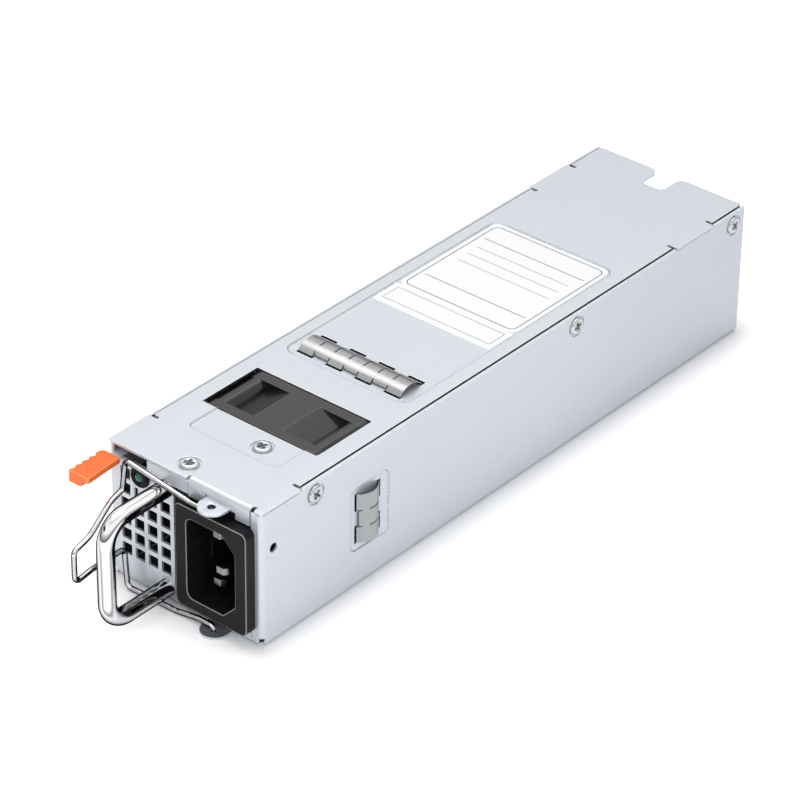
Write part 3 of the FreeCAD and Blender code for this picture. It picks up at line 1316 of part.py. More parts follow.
def build_screws():
    """Lid screws on top and three screws in each side wall."""
    seat = case_height - dimple_depth
    lid_screws = [
        pan_screw("LidScrewFront", "z", lid_screw_x, front + lid_screw_setback, seat, 1),
        pan_screw("LidScrewFan", "z", bracket_screw_x, front + bracket_screw_setback,
                  seat - press_depth, 1)]
    node(join("LidScrews", lid_screws), "lid_screws")
    side_screws = []
    for number, setback in enumerate((side_screw_front, side_screw_middle, side_screw_rear)):
        for side in (-1, 1):
            side_screws.append(pan_screw(
                "SideScrew%d%s" % (number, "L" if side < 0 else "R"), "x",
                (half - dimple_depth) * float(side), front + setback,
                case_height - side_screw_drop, side))
    node(join("SideScrews", side_screws), "side_screws")


def build_board():
    """Main board with its card edge, contacts, standoffs, screws and insulating film."""
    body = new_body("main_board")
    edge = board_width / 2
    tongue = edge_width / 2
    stop = rear_panel_y - 0.2
    far = rear_panel_y + sheet + edge_reach
    plan = new_sketch(body, "BoardOutline", "XY_Plane", board_height)
    outline(plan, [
        (-edge, board_front), (edge, board_front), (edge, stop), (tongue, stop), (tongue, far),
        (-tongue, far), (-tongue, stop), (-edge, stop)])
    pad(body, plan, board_thickness)
    holes = new_sketch(body, "BoardHoles", "XY_Plane", board_height)
    spots = [(across * (edge - 3.2), along) for across in (-1.0, 1.0)
             for along in (board_front + 3.6, stop - 4.0)]
    for x, y in spots:
        disc(holes, x, y, screw_radius)
    pocket(body, holes, board_thickness * 3, middle=True)

    posts = []
    fixings = []
    for number, (x, y) in enumerate(spots):
        posts.append(rod("Post%d" % number, "z", x, y, sheet, standoff_radius,
                         board_height - sheet))
        fixings.append(rod("BoardScrewHead%d" % number, "z", x, y, board_top, 2.3, 1.4))
        fixings.append(rod("BoardScrewShank%d" % number, "z", x, y, board_height,
                           screw_radius, board_thickness))
    node(join("Standoffs", posts), "board_standoffs")
    heads = [join("BoardScrew%d" % number, fixings[number * 2:number * 2 + 2])
             for number in range(len(spots))]
    node(join("BoardScrews", heads), "board_screws")

    count = 12
    begin = -(contact_pitch * (count - 1) / 2)
    contacts = new_body("edge_contacts")
    for name, height, back in (("Upper", board_top, False), ("Lower", board_height, True)):
        drawing = new_sketch(contacts, "Contact" + name, "XY_Plane", height)
        for number in range(count):
            x = begin + contact_pitch * float(number)
            rectangle(drawing, x - 0.8, far - 6.5, x + 0.8, far - 0.5)
        pad(contacts, drawing, lift(0.1), back=back)
    film = block("Film", -edge - 0.6, board_front - 1, sheet, board_width + 1.2,
                 stop - board_front + 1, 0.3)
    film_holes = [rod("FilmHole%d" % number, "z", x, y, sheet - 1, standoff_radius, 3.0)
                  for number, (x, y) in enumerate(spots)]
    node(cut("FilmCut", film, join("FilmHoles", film_holes)), "insulation_film")


def build_power_parts():
    """What the board carries, from the mains end to the card edge."""
    fuse_y = board_front + 12
    fuse_x = lift(-0.5)
    ends = [rod("FuseEnd%d" % number, "x", fuse_x + 15.0 * number, fuse_y, board_top + 2.8,
                2.6, 3.0) for number in range(2)]
    glass = rod("FuseGlass", "x", fuse_x + 3, fuse_y, board_top + 2.8, 2.2, 12.0)
    clips = [block("FuseClip%d" % number, fuse_x + 0.6 + 15.0 * number, fuse_y - 1.0, board_top,
                   1.8, 2.0, 0.8) for number in range(2)]
    node(join("Fuse", ends + [glass] + clips), "fuse")

    film_cap = block("FilmCap", -18.5, board_front + 6, board_top, 17.5, 8.5, 15.0)
    film_cap_soft = doc.addObject("Part::Fillet", "FilmCapSoft")
    film_cap_soft.Base = film_cap
    doc.recompute()
    film_cap_soft.Edges = [(number, 0.8, 0.8) for number in (2, 4, 6, 8, 10, 12)]
    node(film_cap_soft, "film_capacitor")

    choke_y = board_front + 25
    choke_x = lift(-11.0)
    ring = wound_ring("ChokeRing", "z", choke_x, choke_y, board_top + lead,
                      line_choke_radius, line_choke_bore, line_choke_height)
    base = block("ChokeBase", choke_x - choke_base / 2, choke_y - choke_base / 2, board_top,
                 choke_base, choke_base, lead)
    node(join("LineChoke", [ring, base]), "line_choke")

    bridge = block("Bridge", 8.0, choke_y - 9, board_top, 3.6, 18.0, 14.0)
    node(bridge, "bridge_rectifier")

    bulk_y = board_front + 38
    bulk_z = board_top + bulk_radius
    can = rod("BulkCan", "y", 7.0, bulk_y, bulk_z, bulk_radius, bulk_length)
    groove = cut("BulkGroove",
                 rod("BulkGrooveOuter", "y", 7.0, bulk_y + 2.6, bulk_z, bulk_radius + 1, 1.6),
                 rod("BulkGrooveInner", "y", 7.0, bulk_y + 2.0, bulk_z, bulk_radius - 0.6, 2.8))
    node(cut("BulkCapacitor", can, groove), "bulk_capacitor")

    build_heat_sink("primary_heat_sink", -(board_width / 2) + 0.5, board_front + 37, 1.0)
    build_transistors("power_transistors", -(board_width / 2) + 0.5 + 6.0, board_front + 41)

    core_y = board_front + 78
    build_transformer(core_y)
    build_heat_sink("secondary_heat_sink", board_width / 2 - 0.5 - 6.0, board_front + 82, -1.0)

    choke2_y = core_y + core_length + 5
    toroid = wound_ring("OutputToroid", "y", lift(-10.0), choke2_y - output_choke_width / 2,
                        board_top + lead + output_choke_radius, output_choke_radius,
                        output_choke_bore, output_choke_width)
    rest = block("ToroidRest", -15.0, choke2_y - 3, board_top, 10.0, 6.0, lead + 0.7)
    node(join("OutputChoke", [toroid, rest]), "output_choke")

    caps = []
    for number in range(3):
        caps.append(rod("OutputCap%d" % number, "z", lift(-15.5) + 9.0 * number,
                        choke2_y + 9.6, board_top, output_cap_radius, output_cap_height))
    node(join("OutputCaps", caps), "output_capacitors")

    card = block("ControlCard", 9.2, choke2_y - 1.0, board_top, 1.2, 15.0, card_height)
    chips = [block("ControlChip%d" % number, 10.4, choke2_y + 1.4, board_top + 4.0 + 8.0 * number,
                   1.2, 6.0, 5.0) for number in range(2)]
    node(join("ControlBoard", [card] + chips), "control_board")


def wound_ring(name, axis, x, y, z, radius, bore, height):
    """A ring core with its winding, its outer edges bevelled."""
    outer = rod(name + "Outer", axis, x, y, z, radius, height)
    doc.recompute()
    eased = doc.addObject("Part::Chamfer", name + "Eased")
    eased.Base = outer
    eased.Edges = [(edge, 1.6, 1.6) for edge in (2, 3)]
    return cut(name, eased, rod(name + "Bore", axis, x, y, z, bore, height))


def build_heat_sink(label, x, y, facing):
    """Comb-shaped extrusion standing on the board."""
    body = new_body(label)
    fin, gap, plate = 1.0, 2.0, 1.8
    depth = lift(6.0)
    section = new_sketch(body, "Sink_" + label, "XZ_Plane", -y - sink_length)
    left = x
    right = x + depth
    wall = right - plate if facing > 0 else left + plate
    tips = left if facing > 0 else right
    back = right if facing > 0 else left
    points = [(back, board_top), (back, board_top + sink_height)]
    count = 8
    step = sink_height / (count * 1.0)
    for number in reversed(range(count)):
        low = board_top + step * float(number)
        top_edge = low + step if number == count - 1 else low + fin + (step - fin) / 2
        if number == count - 1:
            points.append((tips, top_edge))
            points.append((tips, top_edge - fin))
            points.append((wall, top_edge - fin))
        else:
            points.append((wall, top_edge))
            points.append((tips, top_edge))
            points.append((tips, top_edge - fin))
            if number:
                points.append((wall, top_edge - fin))
    points[-1] = (tips, top_edge - fin)
    points += [(wall, top_edge - fin), (wall, board_top)]
    outline(section, points)
    pad(body, section, sink_length)


def build_transistors(label, x, y):
    """Three flat transistors clamped on the heat sink's plain side."""
    parts = []
    for number in range(3):
        start = y + 13.0 * number
        base = block("Transistor%d" % number, x, start, board_top + 5.0, 4.5, 10.0, 9.0)
        tab = block("TransistorTab%d" % number, x, start, board_top + 14.0, 1.3, 10.0, 6.0)
        legs = [block("TransistorLeg%d%d" % (number, leg), x + 2.0, start + 2.0 + 2.54 * leg,
                      board_top, 0.6, 0.9, 5.0) for leg in range(3)]
        parts.append(join("TransistorSet%d" % number, [base, tab] + legs))
    node(join("Transistors", parts), label)


def build_transformer(core_y):
    """Two E cores round a wound bobbin on its pin rails."""
    left = -(core_width / 2) - 4.0
    base = board_top + lead
    core = new_body("transformer_core")
    face = new_sketch(core, "CoreFace", "XZ_Plane", -core_y - core_length * 0.8)
    rectangle(face, left, base, left + core_width, base + core_height)
    pad(core, face, core_length * 0.6)
    window = new_sketch(core, "CoreWindow", "XZ_Plane", -core_y - core_length * 0.8)
    rectangle(window, left + 4, base + 4, left + core_width - 4, base + core_height - 4)
    pocket(core, window, core_length, back=True)
    winding = new_body("transformer_winding")
    tape = new_sketch(winding, "Winding", "XY_Plane", base + 4)
    rectangle(tape, left + 4, core_y, left + core_width - 4, core_y + core_length, 3.0)
    pad(winding, tape, core_height - 8)
    rails = [
        block("PinRail%d" % number, left + 3, core_y + (core_length - 4.0) * float(number),
              board_top, core_width - 6, 4.0, 4.0 + lead) for number in range(2)]
    node(join("PinRails", rails), "transformer_rails")


def build_wiring():
    """Mains wires from the inlet's terminals past the fan to the main board."""
    x = (fan_x + fan_size / 2 + inner) / 2
    wires = []
    tail = front + inlet_body_depth + pin_tail
    for number, (pin_x, pin_z, recess) in enumerate(pin_places()):
        height = pin_z - 1.0
        points = [
            at(pin_x, tail, pin_z), at(pin_x, tail + 2.3, pin_z),
            at(x, tail + 2.3, height), at(x, board_front + 5.0, height),
            at(x - 2.0, board_front + 8.0 + 2.2 * number, board_top + 3.5),
            at(x - 2.0, board_front + 8.0 + 2.2 * number, board_top)]
        wires.append(wire_solid(points, [1.2, 1.8, 2.4, 1.2], 0.85, sides=8))
    feature_from("mains_wires", Part.makeCompound(wires))


build_chassis()
build_lid()
build_rear_panel()
build_handle()
build_inlet()
build_bail()
build_latch()
build_indicator()
build_fan()
build_fan_bracket()
build_springs()
build_label()
build_screws()
build_board()
build_power_parts()
build_wiring()
doc.recompute()

for thing in doc.Objects:
    if "Invalid" in thing.State or "Error" in thing.State:
        raise RuntimeError("%s did not build: %s" % (thing.Name, thing.State))

os.makedirs("parts", exist_ok=True)
for thing in nodes:
    if thing.Shape.isNull() or not thing.Shape.isValid():
        raise RuntimeError("%s has no valid shape" % thing.Label)
    thing.Shape.exportStep("parts/%s.step" % thing.Label)
    box = thing.Shape.BoundBox
    print("%-22s solids %2d volume %10.2f  x %7.2f %7.2f  y %7.2f %7.2f  z %6.2f %6.2f" % (
        thing.Label, len(thing.Shape.Solids), thing.Shape.Volume,
        box.XMin, box.XMax, box.YMin, box.YMax, box.ZMin, box.ZMax))
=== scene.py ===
import json
import math

import bpy
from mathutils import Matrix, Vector
from mathutils.bvhtree import BVHTree


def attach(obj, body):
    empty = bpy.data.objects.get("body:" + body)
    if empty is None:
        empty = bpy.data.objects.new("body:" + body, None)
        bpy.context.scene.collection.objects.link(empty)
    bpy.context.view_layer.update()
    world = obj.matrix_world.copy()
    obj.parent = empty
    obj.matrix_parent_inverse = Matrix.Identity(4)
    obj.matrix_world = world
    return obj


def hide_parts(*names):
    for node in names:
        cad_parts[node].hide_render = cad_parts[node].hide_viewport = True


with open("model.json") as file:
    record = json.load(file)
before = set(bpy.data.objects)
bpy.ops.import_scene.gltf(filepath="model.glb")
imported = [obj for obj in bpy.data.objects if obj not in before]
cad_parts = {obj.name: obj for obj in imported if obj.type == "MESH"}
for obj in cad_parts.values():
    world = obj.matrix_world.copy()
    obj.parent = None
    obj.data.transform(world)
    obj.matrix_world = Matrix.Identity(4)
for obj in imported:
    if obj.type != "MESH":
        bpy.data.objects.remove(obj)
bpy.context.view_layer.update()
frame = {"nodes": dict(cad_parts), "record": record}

bl_info = {
    "name": "Server power supply",
    "version": (1, 0, 0),
    "blender": (4, 5, 0),
    "location": "3D View > Sidebar > Power supply",
    "description": "Dresses the hot swap power supply: sheets, chrome, mouldings and label",
    "category": "Object",
}

MM = 0.001
BODY_OF = {node: body for body, nodes in frame["record"]["behaviour"]["bodies"].items()
           for node in nodes}


def colour(name, note, default):
    """A colour that a user can change."""
    return bpy.props.FloatVectorProperty(
        name=name, description=note, subtype="COLOR", size=3, default=default, min=0.0, max=1.0)


def length(name, note, default):
    """A length that a user can change."""
    return bpy.props.FloatProperty(
        name=name, description=note, default=default, min=0.0, unit="LENGTH", precision=5)


class SheetLook(bpy.types.PropertyGroup):
    """Zinc-plated case sheets"""
    zinc: colour("Zinc", "Plated face of the case sheets", (0.70, 0.73, 0.77))
    zinc_shade: colour("Zinc shade", "Darker drift of the plating", (0.675, 0.705, 0.75))
    # Sheared edges are bare steel; the brighter colour on every rounded edge is also a painted
    # highlight
    cut: colour("Cut edge", "Sheared edges where the plating is thin", (0.86, 0.88, 0.90))
    # Painted shade: the near-black colour of the seams, the spring slots' walls and the fan
    # opening's walls, where shade falls
    seam: colour("Seam", "Dull sheet down in the seams", (0.035, 0.036, 0.040))
    # Painted shade: the dark colour of the pressed panels' rims, also used on the pivot tab under
    # the inlet
    painted_mid_shade: colour("Press line", "Drawn rims of the pressed panels", (0.20, 0.215, 0.24))
    edge: length("Edge round", "Rounding of sheared edges", 0.11 * MM)
    press_edge: length("Press round", "Rounding of the pressed panels' rims", 0.32 * MM)
    press_depth: length("Press depth", "Depth of the pressed panels", 0.35 * MM)


class WireLook(bpy.types.PropertyGroup):
    """Chromed handle and bail"""
    chrome: colour("Chrome", "Bright plating", (0.98, 0.98, 0.99))
    # Painted reflection: the dark tone that chrome takes toward a rod's sides
    chrome_painted_rim: colour("Chrome rim", "Plating seen at a low angle", (0.05, 0.05, 0.055))
    spring: colour("Spring steel", "Shielding springs", (0.44, 0.44, 0.44))


class PlasticLook(bpy.types.PropertyGroup):
    """Moulded parts"""
    orange: colour("Grip", "Moulded release grip", (1.0, 0.175, 0.026))
    inlet: colour("Inlet", "Moulded mains inlet", (0.007, 0.007, 0.0075))
    fan: colour("Fan", "Moulded fan frame and rotor", (0.013, 0.013, 0.014))
    edge: length("Moulded round", "Rounding of moulded edges", 0.22 * MM)


class StageLook(bpy.types.PropertyGroup):
    """Camera and studio"""
    eye: bpy.props.FloatVectorProperty(
        name="Camera place", description="Where the camera stands", subtype="XYZ",
        unit="LENGTH", default=(0.54143808, -0.66970983, 0.56905861))
    turn: bpy.props.FloatVectorProperty(
        name="Camera turn", description="Camera rotation", subtype="EULER", unit="ROTATION",
        default=(0.99816001, -0.01217509, 0.70007744))
    lens: bpy.props.FloatProperty(
        name="Lens", description="Focal length on a 36 mm frame", default=175.61)
    floor: colour("Floor", "Studio paper", (0.90, 0.90, 0.90))


# Nodes and the groups shared by the finishes

def connect(links, *pairs):
    """Link nodes: each pair is a node, its output, the next node and its input."""
    for source, output, target, entry in pairs:
        links.new(source.outputs[output], target.inputs[entry])


def set_inputs(node, **values):
    """Set inputs by name, with an underscore for each space."""
    for name, value in values.items():
        node.inputs[name.replace("_", " ")].default_value = value


def math_node(nodes, operation, second=None):
    """A math node, with its second value where that is fixed."""
    node = nodes.new("ShaderNodeMath")
    node.operation = operation
    if second is not None:
        node.inputs[1].default_value = second
    return node


def new_group(name, inputs, outputs):
    """An empty node group with named sockets."""
    group = bpy.data.node_groups.new(name, "ShaderNodeTree")
    for label, kind, value in inputs:
        entry = group.interface.new_socket(name=label, in_out="INPUT", socket_type=kind)
        entry.default_value = value
    for label, kind in outputs:
        group.interface.new_socket(name=label, in_out="OUTPUT", socket_type=kind)
    return group, group.nodes.new("NodeGroupInput"), group.nodes.new("NodeGroupOutput")


def grain_group():
    """Noise on object coordinates, stretched by Stretch and spread between Low and High."""
    group, enter, leave = new_group("grain", [
        ("Scale", "NodeSocketFloat", 800.0), ("Stretch", "NodeSocketVector", (1.0, 1.0, 1.0)),
        ("Low", "NodeSocketFloat", 0.0), ("High", "NodeSocketFloat", 1.0)],
        [("Value", "NodeSocketFloat")])
    nodes = group.nodes
    place = nodes.new("ShaderNodeTexCoord")
    stretch = nodes.new("ShaderNodeVectorMath")
    stretch.operation = "MULTIPLY"
    noise = nodes.new("ShaderNodeTexNoise")
    set_inputs(noise, Detail=5.0, Roughness=0.6)
    spread = nodes.new("ShaderNodeMapRange")
    set_inputs(spread, From_Min=0.3, From_Max=0.7)
    connect(group.links,
            (place, "Object", stretch, 0), (enter, "Stretch", stretch, 1),
            (stretch, "Vector", noise, "Vector"), (enter, "Scale", noise, "Scale"),
            (noise, "Fac", spread, "Value"), (enter, "Low", spread, "To Min"),
            (enter, "High", spread, "To Max"), (spread, "Result", leave, "Value"))
    return group


MOTTLE_SHARE = 0.35


def drift_group():
    """Slow drift between two colours, with finer mottling over it."""
    group, enter, leave = new_group("colour_drift", [
        ("One", "NodeSocketColor", (1, 1, 1, 1)), ("Other", "NodeSocketColor", (0, 0, 0, 1)),
        ("Scale", "NodeSocketFloat", 30.0), ("Mottle", "NodeSocketFloat", 900.0)],
        [("Color", "NodeSocketColor")])
    nodes = group.nodes
    place = nodes.new("ShaderNodeTexCoord")
    slow = nodes.new("ShaderNodeTexNoise")
    fine = nodes.new("ShaderNodeTexNoise")
    set_inputs(fine, Detail=6.0)
    total = math_node(nodes, "MULTIPLY_ADD", MOTTLE_SHARE)
    blend = nodes.new("ShaderNodeMix")
    blend.data_type = "RGBA"
    spread = nodes.new("ShaderNodeMapRange")
    set_inputs(spread, From_Min=0.5, From_Max=0.85)
    connect(group.links,
            (place, "Object", slow, "Vector"), (place, "Object", fine, "Vector"),
            (enter, "Scale", slow, "Scale"), (enter, "Mottle", fine, "Scale"),
            (fine, "Fac", total, 0), (slow, "Fac", total, 2),
            (total, "Value", spread, "Value"), (spread, "Result", blend, "Factor"),
            (enter, "One", blend, "A"), (enter, "Other", blend, "B"),
            (blend, "Result", leave, "Color"))
    return group


GROUPS = {}


def use_group(nodes, name, **values):
    """Place a shared group, which is built on its first use, with its own values."""
    if name not in GROUPS:
        GROUPS[name] = {"grain": grain_group, "colour_drift": drift_group}[name]()
    node = nodes.new("ShaderNodeGroup")
    node.node_tree = GROUPS[name]
    set_inputs(node, **values)
    return node


GRAIN_DEPTH = 0.02 * MM


def finish(name, one, other=None, metallic=0.0, roughness=(0.4, 0.5), coat=0.0, bump=0.0,
           bump_scale=3000.0, rough_scale=250.0, stretch=(1.0, 1.0, 1.0), drift=30.0,
           mottle=900.0, **sockets):
    """A finish whose colour drifts between two tones, with varied gloss and a fine surface."""
    material = bpy.data.materials.new(name)
    material.use_nodes = True
    nodes, links = material.node_tree.nodes, material.node_tree.links
    shader = nodes["Principled BSDF"]
    tones = [tuple(tone) + (1.0,) for tone in (one, other or one)]
    tint = use_group(nodes, "colour_drift", One=tones[0], Other=tones[1], Scale=drift,
                     Mottle=mottle)
    gloss = use_group(nodes, "grain", Scale=rough_scale, Stretch=stretch, Low=roughness[0],
                      High=roughness[1])
    connect(links, (tint, "Color", shader, "Base Color"), (gloss, "Value", shader, "Roughness"))
    set_inputs(shader, Metallic=metallic, Coat_Weight=coat, **sockets)
    if bump:
        height = use_group(nodes, "grain", Scale=bump_scale, Stretch=stretch)
        relief = nodes.new("ShaderNodeBump")
        set_inputs(relief, Strength=bump, Distance=GRAIN_DEPTH)
        connect(links, (height, "Value", relief, "Height"), (relief, "Normal", shader, "Normal"))
    return material


# Painted reflection on chrome: share of the plating's brightness from the middle of a round
# piece, and where its dark rim starts
ROD_PAINTED_REFLECTION = ((0.22, 1.0), (0.30, 0.30), (0.38, 1.0), (0.52, 0.75))
ROD_REFLECTION_RIM = 0.66
WIRE_PAINTED_REFLECTION = ((0.10, 1.0), (0.25, 0.6))
WIRE_REFLECTION_RIM = 0.42


def paint_dark_reflections(material, bright, rim, reflection_bands, rim_start):
    """Painted reflection: plating that turns dark where it is seen at a low angle, as a rod's two
    sides do, with darker bands between.
    """
    nodes, links = material.node_tree.nodes, material.node_tree.links
    shader = nodes["Principled BSDF"]
    facing = nodes.new("ShaderNodeLayerWeight")
    set_inputs(facing, Blend=0.5)
    ramp = nodes.new("ShaderNodeValToRGB")
    middle, side = ramp.color_ramp.elements
    middle.position, middle.color = 0.0, tuple(bright) + (1.0,)
    side.position, side.color = rim_start, tuple(rim) + (1.0,)
    for place, share in reflection_bands:
        stop = ramp.color_ramp.elements.new(place)
        stop.color = tuple(value * share for value in bright) + (1.0,)
    tint = nodes.new("ShaderNodeMix")
    tint.data_type = "RGBA"
    tint.blend_type = "MULTIPLY"
    set_inputs(tint, Factor=1.0)
    links.new(shader.inputs["Base Color"].links[0].from_socket, tint.inputs["A"])
    connect(links, (facing, "Facing", ramp, "Fac"), (ramp, "Color", tint, "B"),
            (tint, "Result", shader, "Base Color"))
    return material


def bright_plating(name, wires, reflection_bands, rim_start):
    """Chrome plating on a round piece, with painted dark reflections."""
    plating = finish(name, (1.0, 1.0, 1.0), (0.95, 0.95, 0.96), metallic=1.0,
                     roughness=(0.04, 0.07), rough_scale=120.0,
                     Specular_Tint=(0.1, 0.1, 0.11, 1.0))
    return paint_dark_reflections(plating, wires.chrome, wires.chrome_painted_rim, reflection_bands, rim_start)


# Grain that runs along the length
STREAK = (1.0, 0.03, 1.0)


def sheet_finishes(sheets):
    """The case's sheets: outside, on their edges with a painted highlight, and painted shade for
    seams, slots, insides and the tab under the inlet.
    """
    return {
        "zinc": finish("zinc_sheet", sheets.zinc, sheets.zinc_shade, metallic=0.55,
                       roughness=(0.34, 0.40), bump=0.03, stretch=STREAK, drift=8.0,
                       mottle=420.0, Specular_Tint=(0.55, 0.57, 0.60, 1.0),
                       Specular_IOR_Level=0.3),
        # Brighter rounded edges: bare sheared steel, and partly a painted highlight
        "cut": finish("sheared_edge_and_highlight", sheets.cut, sheets.zinc, metallic=0.7,
                      roughness=(0.22, 0.34), bump=0.05),
        # Painted shade: the dark colour of the inner faces, where shade falls inside the case
        "inner": finish("inner_sheet", (0.10, 0.105, 0.11), (0.08, 0.085, 0.09), metallic=0.4,
                        roughness=(0.45, 0.55), bump=0.03),
        # Painted shade in the seams and slots
        "seam": finish("seam_painted_shade", sheets.seam, (0.05, 0.05, 0.055), metallic=0.2,
                       roughness=(0.55, 0.7), bump=0.05),
        # Painted shade on the pressed rims and the pivot tab
        "painted_mid_shade": finish("press_line_painted_shade", sheets.painted_mid_shade, (0.17, 0.185, 0.21), metallic=0.55,
                        roughness=(0.34, 0.42), bump=0.03),
    }


def metal_finishes(wires):
    """Chrome with painted dark reflections, springs, and screws with painted shade in their
    recesses.
    """
    return {
        "chrome": bright_plating("bright_chrome", wires, ROD_PAINTED_REFLECTION, ROD_REFLECTION_RIM),
        "wire": bright_plating("chromed_wire", wires, WIRE_PAINTED_REFLECTION, WIRE_REFLECTION_RIM),
        "spring": finish("spring_steel", wires.spring, (0.38, 0.38, 0.38), metallic=1.0,
                         roughness=(0.2, 0.3), stretch=STREAK, bump=0.05),
        "screw": finish("plated_screw", (0.70, 0.71, 0.73), (0.60, 0.61, 0.63), metallic=0.85,
                        roughness=(0.2, 0.3), bump=0.05),
        # Painted shade on the walls of the cross recesses
        "socket": finish("screw_socket", (0.20, 0.20, 0.205), (0.15, 0.15, 0.155),
                         metallic=0.6, roughness=(0.35, 0.5)),
    }


def moulded_finishes(plastics):
    """Grip, inlet and fan, each with painted highlights on their edges, and painted shade in the
    fan's recesses.
    """
    return {
        "orange": finish("orange_moulding", plastics.orange, (0.98, 0.15, 0.018),
                         roughness=(0.36, 0.48), bump=0.25, bump_scale=2600.0),
        # Painted highlight on the grip's rounded edges
        "orange_painted_highlight": finish("orange_painted_highlight", (1.0, 0.32, 0.11), (1.0, 0.27, 0.08),
                              roughness=(0.3, 0.4)),
        "orange_mark": finish("orange_mark", (0.74, 0.10, 0.02), (0.68, 0.085, 0.018),
                              roughness=(0.4, 0.5)),
        "inlet": finish("inlet_moulding", plastics.inlet, (0.009, 0.009, 0.0095),
                        roughness=(0.36, 0.46), bump=0.2, bump_scale=2200.0,
                        Specular_IOR_Level=0.13),
        # Painted highlight on the edges of the black mouldings
        "painted_edge_highlight": finish("moulded_edge_painted_highlight", (0.24, 0.24, 0.245), (0.20, 0.20, 0.205),
                             roughness=(0.22, 0.3)),
        "fan": finish("fan_moulding", plastics.fan, (0.016, 0.016, 0.017),
                      roughness=(0.2, 0.3), bump=0.2, bump_scale=2200.0,
                      Specular_IOR_Level=0.68),
        # Painted shade in the fan's recesses, and painted highlight on its edges
        "fan_painted_shade": finish("fan_recess_painted_shade", (0.007, 0.007, 0.0075), (0.01, 0.01, 0.0105),
                           roughness=(0.2, 0.28), Specular_IOR_Level=0.5),
        "fan_painted_highlight": finish("fan_painted_highlight", (0.075, 0.075, 0.078), (0.06, 0.06, 0.062),
                           roughness=(0.2, 0.28)),
    }


def fitting_finishes():
    """Blades, lens, circuit boards and contacts."""
    return {
        "blade": finish("nickel_blade", (0.36, 0.36, 0.365), (0.30, 0.30, 0.305), metallic=1.0,
                        roughness=(0.18, 0.3)),
        "lens": finish("green_lens", (0.004, 0.14, 0.07), (0.006, 0.18, 0.09),
                       roughness=(0.06, 0.1), coat=0.2),
        "mask": finish("circuit_board", (0.02, 0.12, 0.05), (0.03, 0.17, 0.07),
                       roughness=(0.28, 0.38), coat=0.3, mottle=350.0),
        "gold": finish("gold_contact", (0.83, 0.60, 0.24), (0.74, 0.52, 0.20), metallic=1.0,
                       roughness=(0.2, 0.3)),
    }


def label_finishes():
    """The label's film and its two inks."""
    return {
        "label": finish("label_film", (0.94, 0.94, 0.935), (0.92, 0.92, 0.915),
                        roughness=(0.4, 0.48)),
        "ink": finish("label_ink", (0.05, 0.05, 0.055), (0.07, 0.07, 0.075),
                      roughness=(0.42, 0.5)),
        "faint": finish("label_hairline", (0.22, 0.225, 0.235), (0.19, 0.195, 0.205),
                        roughness=(0.42, 0.5)),
    }


def inside_finishes():
    """What is on the board."""
    return {
        "film": finish("insulating_film", (0.72, 0.72, 0.66), (0.66, 0.66, 0.60),
                       roughness=(0.2, 0.3)),
        "ceramic": finish("ceramic_tube", (0.78, 0.75, 0.68), (0.70, 0.67, 0.60),
                          roughness=(0.3, 0.42)),
        "ferrite": finish("ferrite_core", (0.035, 0.035, 0.037), (0.05, 0.05, 0.052),
                          roughness=(0.5, 0.62), bump=0.4),
        "tape": finish("winding_tape", (0.72, 0.52, 0.08), (0.64, 0.46, 0.06),
                       roughness=(0.3, 0.4), stretch=(1.0, 1.0, 8.0), bump=0.2),
        "copper": finish("enamelled_wire", (0.52, 0.20, 0.06), (0.42, 0.15, 0.04),
                         metallic=0.6, roughness=(0.2, 0.3), bump=0.5, bump_scale=700.0),
        "sleeve": finish("capacitor_sleeve", (0.015, 0.016, 0.03), (0.022, 0.023, 0.04),
                         roughness=(0.25, 0.33), coat=0.2),
        "can": finish("drawn_can", (0.70, 0.71, 0.73), (0.64, 0.65, 0.67), metallic=1.0,
                      roughness=(0.24, 0.34), stretch=(1.0, 1.0, 0.05)),
        "extrusion": finish("extruded_sink", (0.66, 0.67, 0.69), (0.58, 0.59, 0.61),
                            metallic=1.0, roughness=(0.3, 0.42), stretch=STREAK, bump=0.15),
        "box": finish("capacitor_box", (0.75, 0.52, 0.06), (0.69, 0.47, 0.05),
                      roughness=(0.34, 0.42)),
        "epoxy": finish("moulded_epoxy", (0.02, 0.02, 0.022), (0.03, 0.03, 0.032),
                        roughness=(0.45, 0.58), bump=0.3),
        "brass": finish("turned_brass", (0.68, 0.55, 0.30), (0.60, 0.48, 0.26), metallic=1.0,
                        roughness=(0.22, 0.32)),
        "cable": finish("cable_sheath", (0.03, 0.035, 0.06), (0.04, 0.045, 0.08),
                        roughness=(0.35, 0.45)),
    }


FINISHES = {}


def finishes(context):
    """Every finish, made once."""
    if not FINISHES:
        scene = context.scene
        for group in (sheet_finishes(scene.psu_sheets), metal_finishes(scene.psu_wires),
                      moulded_finishes(scene.psu_plastics), fitting_finishes(),
                      label_finishes(), inside_finishes()):
            FINISHES.update(group)
    return FINISHES


# Work on meshes

MERGE = 0.002 * MM
SLACK = 0.02 * MM
SMOOTH = math.radians(38.0)
# A point further than this share of the bevel's width from the shape was thrown off it
THROWN = 1.1

# Rounding of the smaller pieces' edges; rods, springs and the rotor keep theirs
ROUND = {
    "handle_washers": 0.08 * MM, "inlet_pins": 0.15 * MM, "latch_spring": 0.06 * MM,
    "latch_foot": 0.06 * MM, "latch_grip": 0.22 * MM, "led_holder": 0.1 * MM,
    "led_lens": 0.1 * MM, "indicator_board": 0.05 * MM, "fan_frame": 0.14 * MM,
    "lid_screws": 0.22 * MM, "side_screws": 0.22 * MM, "rating_label": 0.02 * MM,
}


def limits(piece):
    """Lowest and highest corner of a piece."""
    places = [vertex.co for vertex in piece.data.vertices]
    return (Vector(min(place[axis] for place in places) for axis in range(3)),
            Vector(max(place[axis] for place in places) for axis in range(3)))


def node_limits(node):
    """Lowest and highest corner of a CAD node."""
    return limits(frame["nodes"][node])


